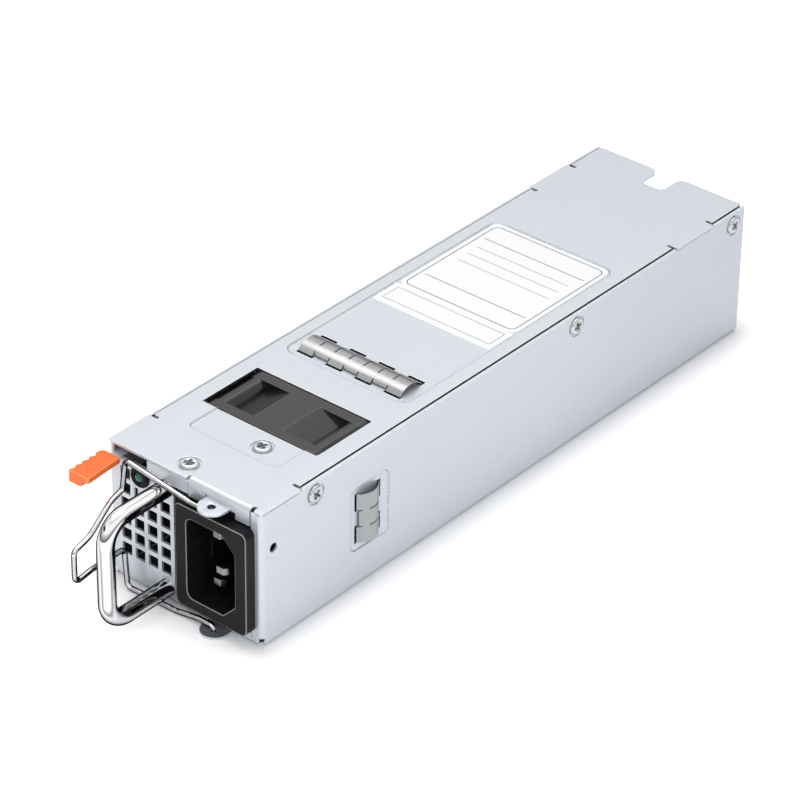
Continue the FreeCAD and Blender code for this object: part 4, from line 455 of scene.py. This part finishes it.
def slot_of(piece, material):
    """Number of the slot that holds one of a piece's materials."""
    return piece.data.materials.find(material.name)


def pick_only(*pieces):
    """Select these pieces alone, the first one active."""
    bpy.ops.object.select_all(action="DESELECT")
    for piece in pieces:
        piece.select_set(True)
    bpy.context.view_layer.objects.active = pieces[0]


def in_edit(piece, mode="FACE"):
    """Go into edit mode on a piece."""
    pick_only(piece)
    bpy.ops.object.mode_set(mode="EDIT")
    bpy.ops.mesh.select_mode(type=mode)


def in_object():
    """Go back to object mode."""
    bpy.ops.object.mode_set(mode="OBJECT")


def unpick(mesh):
    """Deselect all of a mesh."""
    for items in (mesh.vertices, mesh.edges, mesh.polygons):
        items.foreach_set("select", [False] * len(items))


def join_into(piece, *others):
    """Join other pieces into one."""
    pick_only(piece, *others)
    bpy.ops.object.join()
    return piece


def apply_modifiers(piece):
    """Make the modifiers of a piece part of its mesh."""
    pick_only(piece)
    for modifier in list(piece.modifiers):
        bpy.ops.object.modifier_apply(modifier=modifier.name)


def pull_back(piece, shape, reach):
    """Bring back the corner points that a bevel on a very short edge throws off the shape."""
    for vertex in piece.data.vertices:
        near, _, _, distance = shape.find_nearest(vertex.co)
        if distance > reach:
            vertex.co = near


def soften(piece, width, segments=2, angle=35.0, edge=None):
    """Round the sharp edges of a closed mesh, in a finish of their own, and smooth its curves."""
    mesh = piece.data
    shape = BVHTree.FromPolygons([vertex.co.copy() for vertex in mesh.vertices],
                                 [tuple(face.vertices) for face in mesh.polygons])
    if width:
        bevel = piece.modifiers.new("edges", "BEVEL")
        bevel.width = width
        bevel.segments = segments
        bevel.limit_method = "ANGLE"
        bevel.angle_limit = math.radians(angle)
        bevel.use_clamp_overlap = False
        bevel.loop_slide = False
        bevel.miter_outer = "MITER_ARC"
        if edge:
            bevel.material = slot_of(piece, edge)
    apply_modifiers(piece)
    if width:
        pull_back(piece, shape, THROWN * width)
    bpy.ops.object.shade_smooth_by_angle(angle=SMOOTH)
    weigh = piece.modifiers.new("normals", "WEIGHTED_NORMAL")
    weigh.keep_sharp = True
    apply_modifiers(piece)


def cad_copy(node, *materials):
    """A merged copy of a CAD node, with its finishes."""
    piece = bpy.data.objects.new(node + "_piece", frame["nodes"][node].data.copy())
    bpy.context.scene.collection.objects.link(piece)
    piece.data.materials.clear()
    for material in materials:
        piece.data.materials.append(material)
    pick_only(piece)
    bpy.ops.mesh.customdata_custom_splitnormals_clear()
    in_edit(piece, "VERT")
    bpy.ops.mesh.select_all(action="SELECT")
    bpy.ops.mesh.remove_doubles(threshold=MERGE)
    in_object()
    return piece


def settle(piece, node):
    """Give a finished piece its body, and hide the CAD node that it stands in for."""
    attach(piece, BODY_OF[node])
    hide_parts(node)
    return piece


def dress_copy(node, *materials, width=None, segments=2, angle=35.0):
    """Stand a rounded copy in for a CAD node; its edges take the second finish."""
    piece = cad_copy(node, *materials)
    edge = materials[1] if len(materials) > 1 else None
    soften(piece, ROUND.get(node, 0.0) if width is None else width, segments, angle, edge)
    return settle(piece, node)


def paint_node(node, material):
    """Finish a CAD node that shows as it is."""
    mesh = frame["nodes"][node].data
    mesh.materials.clear()
    mesh.materials.append(material)


def round_pressed_rims(piece, axis, outside, sheets, painted_mid_shade):
    """Bevel the rims where a wall goes down from the outside face by the pressed depth, in a
    painted shade finish.
    """
    mesh = piece.data
    unpick(mesh)
    walls = set()
    for face in mesh.polygons:
        places = [mesh.vertices[index].co[axis] for index in face.vertices]
        upright = abs(face.normal[axis]) < 0.1
        if upright and abs(max(places) - outside) < SLACK \
                and abs(min(places) - (outside - sheets.press_depth)) < SLACK:
            walls.update(face.edge_keys)
    for edge in mesh.edges:
        ends = [mesh.vertices[index].co[axis] for index in edge.vertices]
        if edge.key in walls and all(abs(end - outside) < SLACK for end in ends):
            edge.select = True
    in_edit(piece, "EDGE")
    bpy.ops.mesh.bevel(offset=sheets.press_edge, segments=2, profile=0.5,
                       material=slot_of(piece, painted_mid_shade), clamp_overlap=False, loop_slide=False)
    in_object()


def cut_across(piece, place):
    """Divide the faces at a place along the length, so that a tab can be told from its wall."""
    in_edit(piece)
    bpy.ops.mesh.select_all(action="SELECT")
    bpy.ops.mesh.bisect(plane_co=(0.0, place, 0.0), plane_no=(0.0, 1.0, 0.0))
    in_object()


def shade_faces(piece, material, wanted):
    """Give the faces that pass a test, on centre and normal, another of the finishes."""
    slot = slot_of(piece, material)
    for face in piece.data.polygons:
        if wanted(face.center, face.normal):
            face.material_index = slot


def box_piece(name, centre, size, turn=(0.0, 0.0, 0.0)):
    """A box with its place in its mesh."""
    bpy.ops.object.select_all(action="DESELECT")
    bpy.ops.mesh.primitive_cube_add(size=1.0, location=centre, rotation=turn, scale=size)
    piece = bpy.context.object
    piece.name = piece.data.name = name
    bpy.ops.object.transform_apply(location=True, rotation=True, scale=True)
    return piece


PRINT_RISE = 0.012 * MM


def printed_frame(name, low, high, radius, line, height):
    """A printed line round a rectangle with rounded corners, a hair above the film."""
    bpy.ops.object.select_all(action="DESELECT")
    centre = ((low[0] + high[0]) / 2, (low[1] + high[1]) / 2, height)
    bpy.ops.mesh.primitive_plane_add(size=1.0, location=centre)
    piece = bpy.context.object
    piece.name = piece.data.name = name
    piece.scale = (high[0] - low[0], high[1] - low[1], 1.0)
    bpy.ops.object.transform_apply(location=True, rotation=True, scale=True)
    in_edit(piece, "VERT")
    bpy.ops.mesh.select_all(action="SELECT")
    if radius:
        bpy.ops.mesh.bevel(offset=radius, segments=6, affect="VERTICES")
    bpy.ops.mesh.select_mode(type="FACE")
    bpy.ops.mesh.select_all(action="SELECT")
    bpy.ops.mesh.inset(thickness=line)
    bpy.ops.mesh.delete(type="ONLY_FACE")
    bpy.ops.mesh.select_all(action="SELECT")
    bpy.ops.mesh.extrude_region_move(TRANSFORM_OT_translate={"value": (0, 0, PRINT_RISE)})
    bpy.ops.mesh.select_all(action="SELECT")
    bpy.ops.mesh.normals_make_consistent(inside=False)
    in_object()
    return piece


# Cross recess of a pan head, and how far from it a face still belongs to it
RECESS_LENGTH = 2.7 * MM
RECESS_WIDTH = 0.62 * MM
RECESS_DEPTH = 0.62 * MM
RECESS_SLACK = 0.05 * MM
RECESS_LIP = 0.03 * MM


def cross_recess(screw, axis, sign, turn, socket):
    """Cut a cross recess into a pan head that faces along an axis, and paint shade on its walls.
    """
    low, high = limits(screw)
    top = (low + high) / 2
    top[axis] = high[axis] if sign > 0 else low[axis]
    size = [RECESS_LENGTH, RECESS_WIDTH, RECESS_DEPTH * 2]
    if axis == 0:
        size = [RECESS_DEPTH * 2, RECESS_LENGTH, RECESS_WIDTH]
    bars = []
    for quarter in (0.0, math.pi / 2):
        spin = turn + quarter
        tilt = (0.0, 0.0, spin) if axis == 2 else (spin, 0.0, 0.0)
        bars.append(box_piece("recess_bar", top, size, tilt))
    for bar in bars:
        cut = screw.modifiers.new("recess", "BOOLEAN")
        cut.operation = "DIFFERENCE"
        cut.object = bar
        apply_modifiers(screw)
        bpy.data.objects.remove(bar)
    unpick(screw.data)
    reach = RECESS_LENGTH / 2 + RECESS_SLACK

    def down_in(centre, normal):
        return (centre - top).length < reach and abs(centre[axis] - top[axis]) > RECESS_LIP \
            and (centre[axis] - top[axis]) * sign > -RECESS_DEPTH - RECESS_SLACK
    shade_faces(screw, socket, down_in)


def dress_screws(node, axis, look, turns):
    """Pan heads with rounded rims and a cross recess each, turned as they were driven."""
    piece = cad_copy(node, look["screw"], look["socket"])
    soften(piece, ROUND[node], segments=3, angle=30.0)
    in_edit(piece)
    bpy.ops.mesh.select_all(action="SELECT")
    bpy.ops.mesh.separate(type="LOOSE")
    in_object()
    screws = list(bpy.context.selected_objects)
    for number, screw in enumerate(screws):
        middle = sum(limits(screw), Vector()) / 2
        sign = 1 if axis == 2 or middle.x > 0 else -1
        cross_recess(screw, axis, sign, turns[number % len(turns)], look["socket"])
    whole = join_into(screws[0], *screws[1:])
    pick_only(whole)
    bpy.ops.object.shade_smooth_by_angle(angle=SMOOTH)
    return settle(whole, node)


# Which faces of the sheets get painted shade

SHEET = 0.8 * MM
FACE_SLACK = 0.2 * MM
# How far a spring's slots and the fan's opening reach past what is in them
SLOT_MARGIN = 1.4 * MM
OPENING_MARGIN = 0.6 * MM
# Bands, in from the case's side, that hold the lid's edges and the walls' rims
LID_EDGE_INNER = 1.3 * MM
LID_EDGE_OUTER = 0.9 * MM
WALL_RIM_INNER = 0.95 * MM
WALL_RIM_OUTER = 0.64 * MM
# Depths below the outside of the sheet, and below the top
SLOT_DEPTH = 0.45 * MM
RIM_DEPTH = 3.0 * MM
# How far the lower pivot tab starts from the front wall, and a height above it
TAB_CLEARANCE = 0.3 * MM
TAB_TOP = 2.0 * MM


def case_front():
    """The case's front wall, which lies as far from the middle as its rear edge."""
    return -node_limits("chassis")[1].y


def beside(node, margin):
    """Whether a place is within a margin of a node's box."""
    low, high = node_limits(node)

    def inside(place):
        return all(low[axis] - margin < place[axis] < high[axis] + margin for axis in range(3))
    return inside


def lid_seam(half, top):
    """Lid edges that face the wall rims, and the walls of the slots and the fan opening, which
    get painted shade.
    """
    near_spring = beside("emi_spring_top", SLOT_MARGIN)
    near_fan = beside("fan_frame", OPENING_MARGIN)

    def wanted(centre, normal):
        upright = abs(normal.z) < 0.5
        edge = abs(normal.x) > 0.8 \
            and half - LID_EDGE_INNER < abs(centre.x) < half - LID_EDGE_OUTER
        slot = upright and centre.z < top - SLOT_DEPTH and near_spring(centre)
        return edge or slot or (upright and near_fan(centre))
    return wanted


def wall_seam(half, top):
    """Inner faces of the walls beside the lid, and the spring slots' walls, which get painted
    shade.
    """
    near_spring = beside("emi_spring_side", SLOT_MARGIN)

    def wanted(centre, normal):
        inward = normal.x * centre.x < -0.3 * abs(centre.x)
        rim = inward and centre.z > top - RIM_DEPTH \
            and half - WALL_RIM_INNER < abs(centre.x) < half - WALL_RIM_OUTER
        slot = abs(normal.x) < 0.5 and centre.x < half - SLOT_DEPTH and near_spring(centre)
        return rim or slot
    return wanted


def inner_faces(front, back, high):
    """Faces of the walls and the floor that look into the closed part of the case, which get
    painted shade.
    """
    inside = high.x - SHEET

    def wanted(centre, normal):
        floor = normal.z > 0.9 and centre.z < SHEET + FACE_SLACK
        wall = normal.x * centre.x < -0.9 * abs(centre.x) \
            and inside - FACE_SLACK < abs(centre.x) < inside + FACE_SLACK
        return (floor or wall) and front < centre.y < back and centre.z < high.z - RIM_DEPTH
    return wanted


def under_inlet(front):
    """Upper face of the lower pivot tab, which lies in the inlet's shade and gets a painted shade
    for it and for the dark inlet it reflects.
    """
    def wanted(centre, normal):
        return centre.y < front - TAB_CLEARANCE and centre.z < TAB_TOP and normal.z > 0.7
    return wanted


class PSU_OT_case(bpy.types.Operator):
    """Folded case sheets with rounded, brighter edges (bare sheared steel and painted highlight),
    and painted shade in seams, slots, insides and under the inlet
    """
    bl_idname = "psu.case_sheets"
    bl_label = "Case sheets"

    def execute(self, context):
        look = finishes(context)
        sheets = context.scene.psu_sheets
        high = node_limits("chassis")[1]
        top = node_limits("lid")[1].z
        front = case_front()
        back = node_limits("rear_panel")[0].y
        metals = [look[name] for name in ("zinc", "cut", "seam", "painted_mid_shade", "inner")]
        for node, axis, outside, in_seam in (("chassis", 0, high.x, wall_seam),
                                             ("lid", 2, top, lid_seam)):
            piece = cad_copy(node, *metals)
            for place in (front, back):
                cut_across(piece, place)
            round_pressed_rims(piece, axis, outside, sheets, look["painted_mid_shade"])
            soften(piece, sheets.edge, edge=look["cut"])
            # Painted shade in the seams and slots, on the pivot tab under the inlet, and on the
            # insides
            shade_faces(piece, look["seam"], in_seam(high.x, top))
            shade_faces(piece, look["painted_mid_shade"], under_inlet(front))
            shade_faces(piece, look["inner"], inner_faces(front, back, high))
            settle(piece, node)
        for node in ("rear_panel", "fan_bracket", "indicator_clip"):
            dress_copy(node, look["zinc"], width=sheets.edge)
        return {"FINISHED"}


class PSU_OT_handle(bpy.types.Operator):
    """Bent carry handle with the washers behind the panel"""
    bl_idname = "psu.carry_handle"
    bl_label = "Carry handle"

    def execute(self, context):
        look = finishes(context)
        dress_copy("carry_handle", look["chrome"])
        dress_copy("handle_washers", look["spring"])
        return {"FINISHED"}


class PSU_OT_bail(bpy.types.Operator):
    """Wire bail that holds the plug"""
    bl_idname = "psu.cord_bail"
    bl_label = "Cord bail"

    def execute(self, context):
        dress_copy("cord_bail", finishes(context)["wire"])
        return {"FINISHED"}


INLET_LIP = 1.0 * MM


class PSU_OT_inlet(bpy.types.Operator):
    """Mains inlet moulding and its blades"""
    bl_idname = "psu.mains_inlet"
    bl_label = "Mains inlet"

    def execute(self, context):
        look = finishes(context)
        housing = dress_copy("inlet_housing", look["inlet"], look["painted_edge_highlight"],
                             width=context.scene.psu_plastics.edge, segments=3)
        low, high = limits(housing)
        middle = (low + high) / 2
        reach = (high - low) / 2 - Vector((1.0, 1.0, 1.0)) * INLET_LIP

        def in_mouth(centre, normal):
            return centre.y > low.y + INLET_LIP and abs(centre.x - middle.x) < reach.x \
                and abs(centre.z - middle.z) < reach.z
        shade_faces(housing, look["inlet"], in_mouth)

        # Painted highlight on the inlet's outer vertical corners
        def on_corner(centre, normal):
            return normal.y < -0.3 and abs(normal.x) > 0.3 and abs(centre.x - middle.x) > reach.x
        shade_faces(housing, look["painted_edge_highlight"], on_corner)
        dress_copy("inlet_pins", look["blade"])
        return {"FINISHED"}


# The grip's mark is two strokes that meet
MARK_SPREAD = 0.62 * MM
MARK_SHIFT = 0.3 * MM
MARK_SETBACK = 3.6 * MM
MARK_SIZE = (0.26 * MM, 2.0 * MM, 0.03 * MM)
MARK_TURN = 0.62


class PSU_OT_latch(bpy.types.Operator):
    """Release latch: leaf, foot and moulded grip"""
    bl_idname = "psu.release_latch"
    bl_label = "Release latch"

    def execute(self, context):
        look = finishes(context)
        dress_copy("latch_spring", look["zinc"])
        dress_copy("latch_foot", look["zinc"])
        grip = cad_copy("latch_grip", look["orange"], look["orange_painted_highlight"], look["orange_mark"])
        soften(grip, ROUND["latch_grip"], segments=3, angle=25.0, edge=look["orange_painted_highlight"])
        low, high = limits(grip)
        strokes = []
        for side in (-1, 1):
            place = ((low.x + high.x) / 2 + (MARK_SPREAD * side + MARK_SHIFT),
                     low.y + MARK_SETBACK, high.z)
            strokes.append(box_piece("grip_mark", place, MARK_SIZE,
                                     (0.0, 0.0, -MARK_TURN * side)))
            strokes[-1].data.materials.append(look["orange_mark"])
        settle(join_into(grip, *strokes), "latch_grip")
        return {"FINISHED"}


class PSU_OT_indicator(bpy.types.Operator):
    """Indicator holder, lens and its board"""
    bl_idname = "psu.indicator"
    bl_label = "Indicator"

    def execute(self, context):
        look = finishes(context)
        dress_copy("led_holder", look["inlet"])
        dress_copy("led_lens", look["lens"])
        dress_copy("indicator_board", look["mask"])
        return {"FINISHED"}


# Depth below the fan frame's top from which faces get painted shade
FAN_RIM = 0.5 * MM


class PSU_OT_fan(bpy.types.Operator):
    """Cooling fan frame and rotor"""
    bl_idname = "psu.cooling_fan"
    bl_label = "Cooling fan"

    def execute(self, context):
        look = finishes(context)
        housing = dress_copy("fan_frame", look["fan"], look["fan_painted_highlight"], look["fan_painted_shade"],
                             angle=14.0)
        top = limits(housing)[1].z

        # Painted shade on faces below the rim
        def below_rim(centre, normal):
            return centre.z < top - FAN_RIM
        shade_faces(housing, look["fan_painted_shade"], below_rim)
        dress_copy("fan_rotor", look["fan"])
        return {"FINISHED"}


class PSU_OT_springs(bpy.types.Operator):
    """Arched shielding springs on the lid and the right wall"""
    bl_idname = "psu.shielding_springs"
    bl_label = "Shielding springs"

    def execute(self, context):
        look = finishes(context)
        dress_copy("emi_spring_top", look["spring"])
        dress_copy("emi_spring_side", look["spring"])
        return {"FINISHED"}


class PSU_OT_screws(bpy.types.Operator):
    """Pan head screws"""
    bl_idname = "psu.screws"
    bl_label = "Screws"

    def execute(self, context):
        look = finishes(context)
        dress_screws("lid_screws", 2, look, (0.35, 1.1))
        dress_screws("side_screws", 0, look, (0.3, 0.9, 0.6))
        return {"FINISHED"}


# The label's print: a strip at the near end, a frame behind it, and rules across
STRIP_LENGTH = 10.3 * MM
STRIP_INSET = 1.6 * MM
STRIP_FOOT = 2.2 * MM
FRAME_INSET = 1.2 * MM
FRAME_FOOT = 1.0 * MM
FRAME_CORNER = 2.0 * MM
FRAME_LINE = 0.26 * MM
RULE_LINE = 0.24 * MM
HAIRLINE = 0.2 * MM
# Each rule's ink, distance from the near end, share of the label's width, and thickness
RULES = (("ink", 43.1 * MM, 0.86, RULE_LINE), ("ink", 18.4 * MM, 0.86, RULE_LINE),
         ("faint", 38.3 * MM, 0.78, HAIRLINE), ("faint", 34.1 * MM, 0.78, HAIRLINE),
         ("faint", 29.9 * MM, 0.78, HAIRLINE))


class PSU_OT_label(bpy.types.Operator):
    """Bare rating label with a printed frame"""
    bl_idname = "psu.rating_label"
    bl_label = "Rating label"

    def execute(self, context):
        look = finishes(context)
        film = cad_copy("rating_label", look["label"], look["ink"], look["faint"])
        soften(film, ROUND["rating_label"])
        low, high = limits(film)
        strip = low.y + STRIP_LENGTH
        prints = [
            ("ink", printed_frame("frame_line", (low.x + FRAME_INSET, strip + FRAME_FOOT),
                                  (high.x - FRAME_INSET, high.y - FRAME_INSET),
                                  FRAME_CORNER, FRAME_LINE, high.z)),
            ("faint", printed_frame("strip_line", (low.x + STRIP_INSET, low.y + STRIP_FOOT),
                                    (high.x - STRIP_INSET, strip - STRIP_INSET),
                                    0.0, HAIRLINE, high.z))]
        middle = (low.x + high.x) / 2
        span = high.x - low.x
        for name, along, share, line in RULES:
            place = (middle, low.y + along, high.z + PRINT_RISE / 2)
            prints.append((name, box_piece("rule", place, (span * share, line, PRINT_RISE))))
        for name, item in prints:
            item.data.materials.append(look[name])
        settle(join_into(film, *[item for name, item in prints]), "rating_label")
        return {"FINISHED"}


INSIDE = {
    "main_board": "mask", "edge_contacts": "gold", "board_standoffs": "brass",
    "board_screws": "screw", "insulation_film": "film", "fuse": "ceramic",
    "film_capacitor": "box", "line_choke": "copper", "bridge_rectifier": "epoxy",
    "bulk_capacitor": "sleeve", "primary_heat_sink": "extrusion",
    "secondary_heat_sink": "extrusion", "power_transistors": "epoxy",
    "transformer_core": "ferrite", "transformer_winding": "tape",
    "transformer_rails": "epoxy", "output_choke": "copper", "output_capacitors": "can",
    "control_board": "mask", "mains_wires": "cable",
}


class PSU_OT_inside(bpy.types.Operator):
    """Circuit board and what it carries"""
    bl_idname = "psu.inside"
    bl_label = "Inside"

    def execute(self, context):
        look = finishes(context)
        for node, name in INSIDE.items():
            paint_node(node, look[name])
        return {"FINISHED"}


# Stage, in metres and watts

# Painted light and shade: how much the paper glows to white, against the distance from the case
# in REACH, so it stays darker near the case
PAPER_GLOW_BY_DISTANCE = ((0.0, 0.0), (0.08, 0.06), (0.25, 0.22), (0.5, 0.36), (1.0, 0.46))
REACH = 20.0 * MM
# Share of the painted glow that mirrors see
MIRRORED_GLOW_SHARE = 0.4
PAPER_SIZE = 12.0
PAPER_DROP = 0.05 * MM
# What mirrors see of the light tent, against the height of the direction
TENT_SHADES = ((0.0, 0.12), (0.12, 0.26), (0.32, 0.62), (0.46, 1.0), (0.70, 1.0), (1.0, 0.6))
SOFT_LIGHT = 0.44
WHITE = (1.0, 1.0, 1.0, 1.0)
# Each lamp's place, aim, size and power, and whether mirrors show it
LAMPS = {
    "overhead": ((-0.25, 0.15, 1.5), (0.0, 0.0, 0.0), (1.4, 1.4), 13.2, True),
    "side": ((0.40, -0.36, 0.27), (0.0, -0.08, 0.02), (0.5, 0.4), 1.3, False),
    "fill": ((-0.24, -0.50, 0.30), (0.0, -0.1, 0.02), (0.5, 0.4), 0.6, False),
}
# The dark card's place, aim and size
CARD = ((-0.32, -0.50, 0.33), (0.0, -0.05, 0.03), (0.34, 0.12))
SENSOR = 36.0
NEAR_CLIP = 0.01


def area_lamp(name, place, aim, size, power, mirrored):
    """A rectangular lamp turned to its aim."""
    lamp = bpy.data.lights.new(name, "AREA")
    lamp.shape = "RECTANGLE"
    lamp.size, lamp.size_y = size
    lamp.energy = power
    holder = bpy.data.objects.new(name, lamp)
    bpy.context.scene.collection.objects.link(holder)
    holder.location = place
    holder.rotation_euler = (Vector(aim) - Vector(place)).to_track_quat("-Z", "Y").to_euler()
    holder.visible_glossy = mirrored


def dark_card(name, place, aim, size):
    """A black card that only reflections see."""
    bpy.ops.object.select_all(action="DESELECT")
    bpy.ops.mesh.primitive_plane_add(size=1.0, location=place)
    card = bpy.context.object
    card.name = name
    card.rotation_euler = (Vector(aim) - Vector(place)).to_track_quat("Z", "Y").to_euler()
    card.scale = (size[0], size[1], 1.0)
    material = bpy.data.materials.new(name + "_black")
    material.use_nodes = True
    set_inputs(material.node_tree.nodes["Principled BSDF"],
               Base_Color=(0.004, 0.004, 0.005, 1.0), Specular_IOR_Level=0.0)
    card.data.materials.append(material)
    card.visible_camera = False
    card.visible_diffuse = False
    card.visible_shadow = False
    card.visible_transmission = False


def set_ramp(ramp, stops):
    """Grey stops of a colour ramp."""
    for number, (place, value) in enumerate(stops):
        stop = ramp.elements[number] if number < 2 else ramp.elements.new(place)
        stop.position = place
        stop.color = (value, value, value, 1.0)


def distance_from_case(nodes, links):
    """Distance on the floor from the case, which is centred, as a share of REACH."""
    high = node_limits("chassis")[1]
    place = nodes.new("ShaderNodeTexCoord")
    parts = nodes.new("ShaderNodeSeparateXYZ")
    gaps = nodes.new("ShaderNodeCombineXYZ")
    connect(links, (place, "Object", parts, "Vector"))
    for axis, name in enumerate("XY"):
        size = math_node(nodes, "ABSOLUTE")
        gap = math_node(nodes, "SUBTRACT", high[axis])
        above = math_node(nodes, "MAXIMUM", 0.0)
        connect(links, (parts, name, size, 0), (size, 0, gap, 0), (gap, 0, above, 0),
                (above, 0, gaps, name))
    span = nodes.new("ShaderNodeVectorMath")
    span.operation = "LENGTH"
    share = math_node(nodes, "DIVIDE", REACH)
    connect(links, (gaps, "Vector", span, 0), (span, "Value", share, 0))
    return share


def studio_paper(tone):
    """Paper that glows white away from the case, a painted light, and keeps the case's shadow."""
    material = bpy.data.materials.new("studio_paper")
    material.use_nodes = True
    nodes, links = material.node_tree.nodes, material.node_tree.links
    shader = nodes["Principled BSDF"]
    set_inputs(shader, Base_Color=tuple(tone) + (1.0,), Roughness=0.9,
               Specular_IOR_Level=0.0, Emission_Color=WHITE)
    rays = nodes.new("ShaderNodeLightPath")
    seen = math_node(nodes, "MAXIMUM")
    paper_glow = math_node(nodes, "MULTIPLY")
    away = distance_from_case(nodes, links)
    spread = nodes.new("ShaderNodeValToRGB")
    set_ramp(spread.color_ramp, PAPER_GLOW_BY_DISTANCE)
    mirrored = math_node(nodes, "MULTIPLY", MIRRORED_GLOW_SHARE)
    connect(links, (away, "Value", spread, "Fac"), (spread, "Color", paper_glow, 1),
            (rays, "Is Camera Ray", seen, 0), (rays, "Is Glossy Ray", mirrored, 0),
            (mirrored, "Value", seen, 1), (seen, 0, paper_glow, 0),
            (paper_glow, 0, shader, "Emission Strength"))
    return material


def lay_floor(tone):
    """A sheet of paper just under the case."""
    bpy.ops.object.select_all(action="DESELECT")
    bpy.ops.mesh.primitive_plane_add(size=PAPER_SIZE, location=(0.0, 0.0, -PAPER_DROP))
    floor = bpy.context.object
    floor.name = "floor"
    floor.data.materials.append(studio_paper(tone))


def light_world(scene):
    """Soft light all round, white where the camera looks, and a shaded tent for mirrors."""
    world = bpy.data.worlds.new("studio")
    world.use_nodes = True
    scene.world = world
    nodes, links = world.node_tree.nodes, world.node_tree.links
    soft = nodes["Background"]
    set_inputs(soft, Color=(0.93, 0.96, 1.0, 1.0), Strength=SOFT_LIGHT)
    white = nodes.new("ShaderNodeBackground")
    set_inputs(white, Color=WHITE, Strength=1.0)
    tent = nodes.new("ShaderNodeBackground")
    place = nodes.new("ShaderNodeTexCoord")
    parts = nodes.new("ShaderNodeSeparateXYZ")
    height = nodes.new("ShaderNodeValToRGB")
    set_ramp(height.color_ramp, TENT_SHADES)
    rays = nodes.new("ShaderNodeLightPath")
    seen = math_node(nodes, "MAXIMUM")
    plain = nodes.new("ShaderNodeMixShader")
    mirrored = nodes.new("ShaderNodeMixShader")
    connect(links, (place, "Generated", parts, "Vector"), (parts, "Z", height, "Fac"),
            (height, "Color", tent, "Color"), (rays, "Is Camera Ray", seen, 0),
            (rays, "Is Transmission Ray", seen, 1), (seen, 0, plain, "Fac"),
            (soft, "Background", plain, 1), (white, "Background", plain, 2),
            (rays, "Is Glossy Ray", mirrored, "Fac"), (plain, "Shader", mirrored, 1),
            (tent, "Background", mirrored, 2),
            (mirrored, "Shader", nodes["World Output"], "Surface"))


def stand_camera(scene, stage):
    """The camera at the place that the panel gives."""
    eye = bpy.data.cameras.new("camera")
    eye.sensor_width = SENSOR
    eye.lens = stage.lens
    eye.clip_start = NEAR_CLIP
    camera = bpy.data.objects.new("camera", eye)
    scene.collection.objects.link(camera)
    camera.location = stage.eye
    camera.rotation_euler = stage.turn
    bpy.context.scene.camera = camera


class PSU_OT_stage(bpy.types.Operator):
    """Pale floor, camera and soft studio light"""
    bl_idname = "psu.stage"
    bl_label = "Stage"

    def execute(self, context):
        stage = context.scene.psu_stage
        lay_floor(stage.floor)
        light_world(context.scene)
        for name, values in LAMPS.items():
            area_lamp(name, *values)
        dark_card("front_left_card", *CARD)
        stand_camera(context.scene, stage)
        context.scene.view_settings.view_transform = "Standard"
        return {"FINISHED"}


STEPS = (PSU_OT_case, PSU_OT_handle, PSU_OT_bail, PSU_OT_inlet, PSU_OT_latch,
         PSU_OT_indicator, PSU_OT_fan, PSU_OT_springs, PSU_OT_screws, PSU_OT_label,
         PSU_OT_inside, PSU_OT_stage)
LOOKS = {"psu_sheets": SheetLook, "psu_wires": WireLook, "psu_plastics": PlasticLook,
         "psu_stage": StageLook}


class PSU_PT_panel(bpy.types.Panel):
    """Sizes, colours and steps of the power supply"""
    bl_label = "Power supply"
    bl_idname = "PSU_PT_panel"
    bl_space_type = "VIEW_3D"
    bl_region_type = "UI"
    bl_category = "Power supply"

    def draw(self, context):
        for key, look in LOOKS.items():
            box = self.layout.box()
            for name in look.__annotations__:
                box.prop(getattr(context.scene, key), name)
        for step in STEPS:
            self.layout.operator(step.bl_idname)


def register():
    """Add the settings, the steps and the panel."""
    for look in LOOKS.values():
        bpy.utils.register_class(look)
    for step in STEPS:
        bpy.utils.register_class(step)
    bpy.utils.register_class(PSU_PT_panel)
    for name, look in LOOKS.items():
        setattr(bpy.types.Scene, name, bpy.props.PointerProperty(type=look))


def unregister():
    """Take them away again."""
    for name in LOOKS:
        delattr(bpy.types.Scene, name)
    bpy.utils.unregister_class(PSU_PT_panel)
    for step in reversed(STEPS):
        bpy.utils.unregister_class(step)
    for look in LOOKS.values():
        bpy.utils.unregister_class(look)


def main():
    """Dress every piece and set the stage."""
    register()
    for step in STEPS:
        group, name = step.bl_idname.split(".")
        getattr(getattr(bpy.ops, group), name)()


if __name__ == "__main__":
    main()
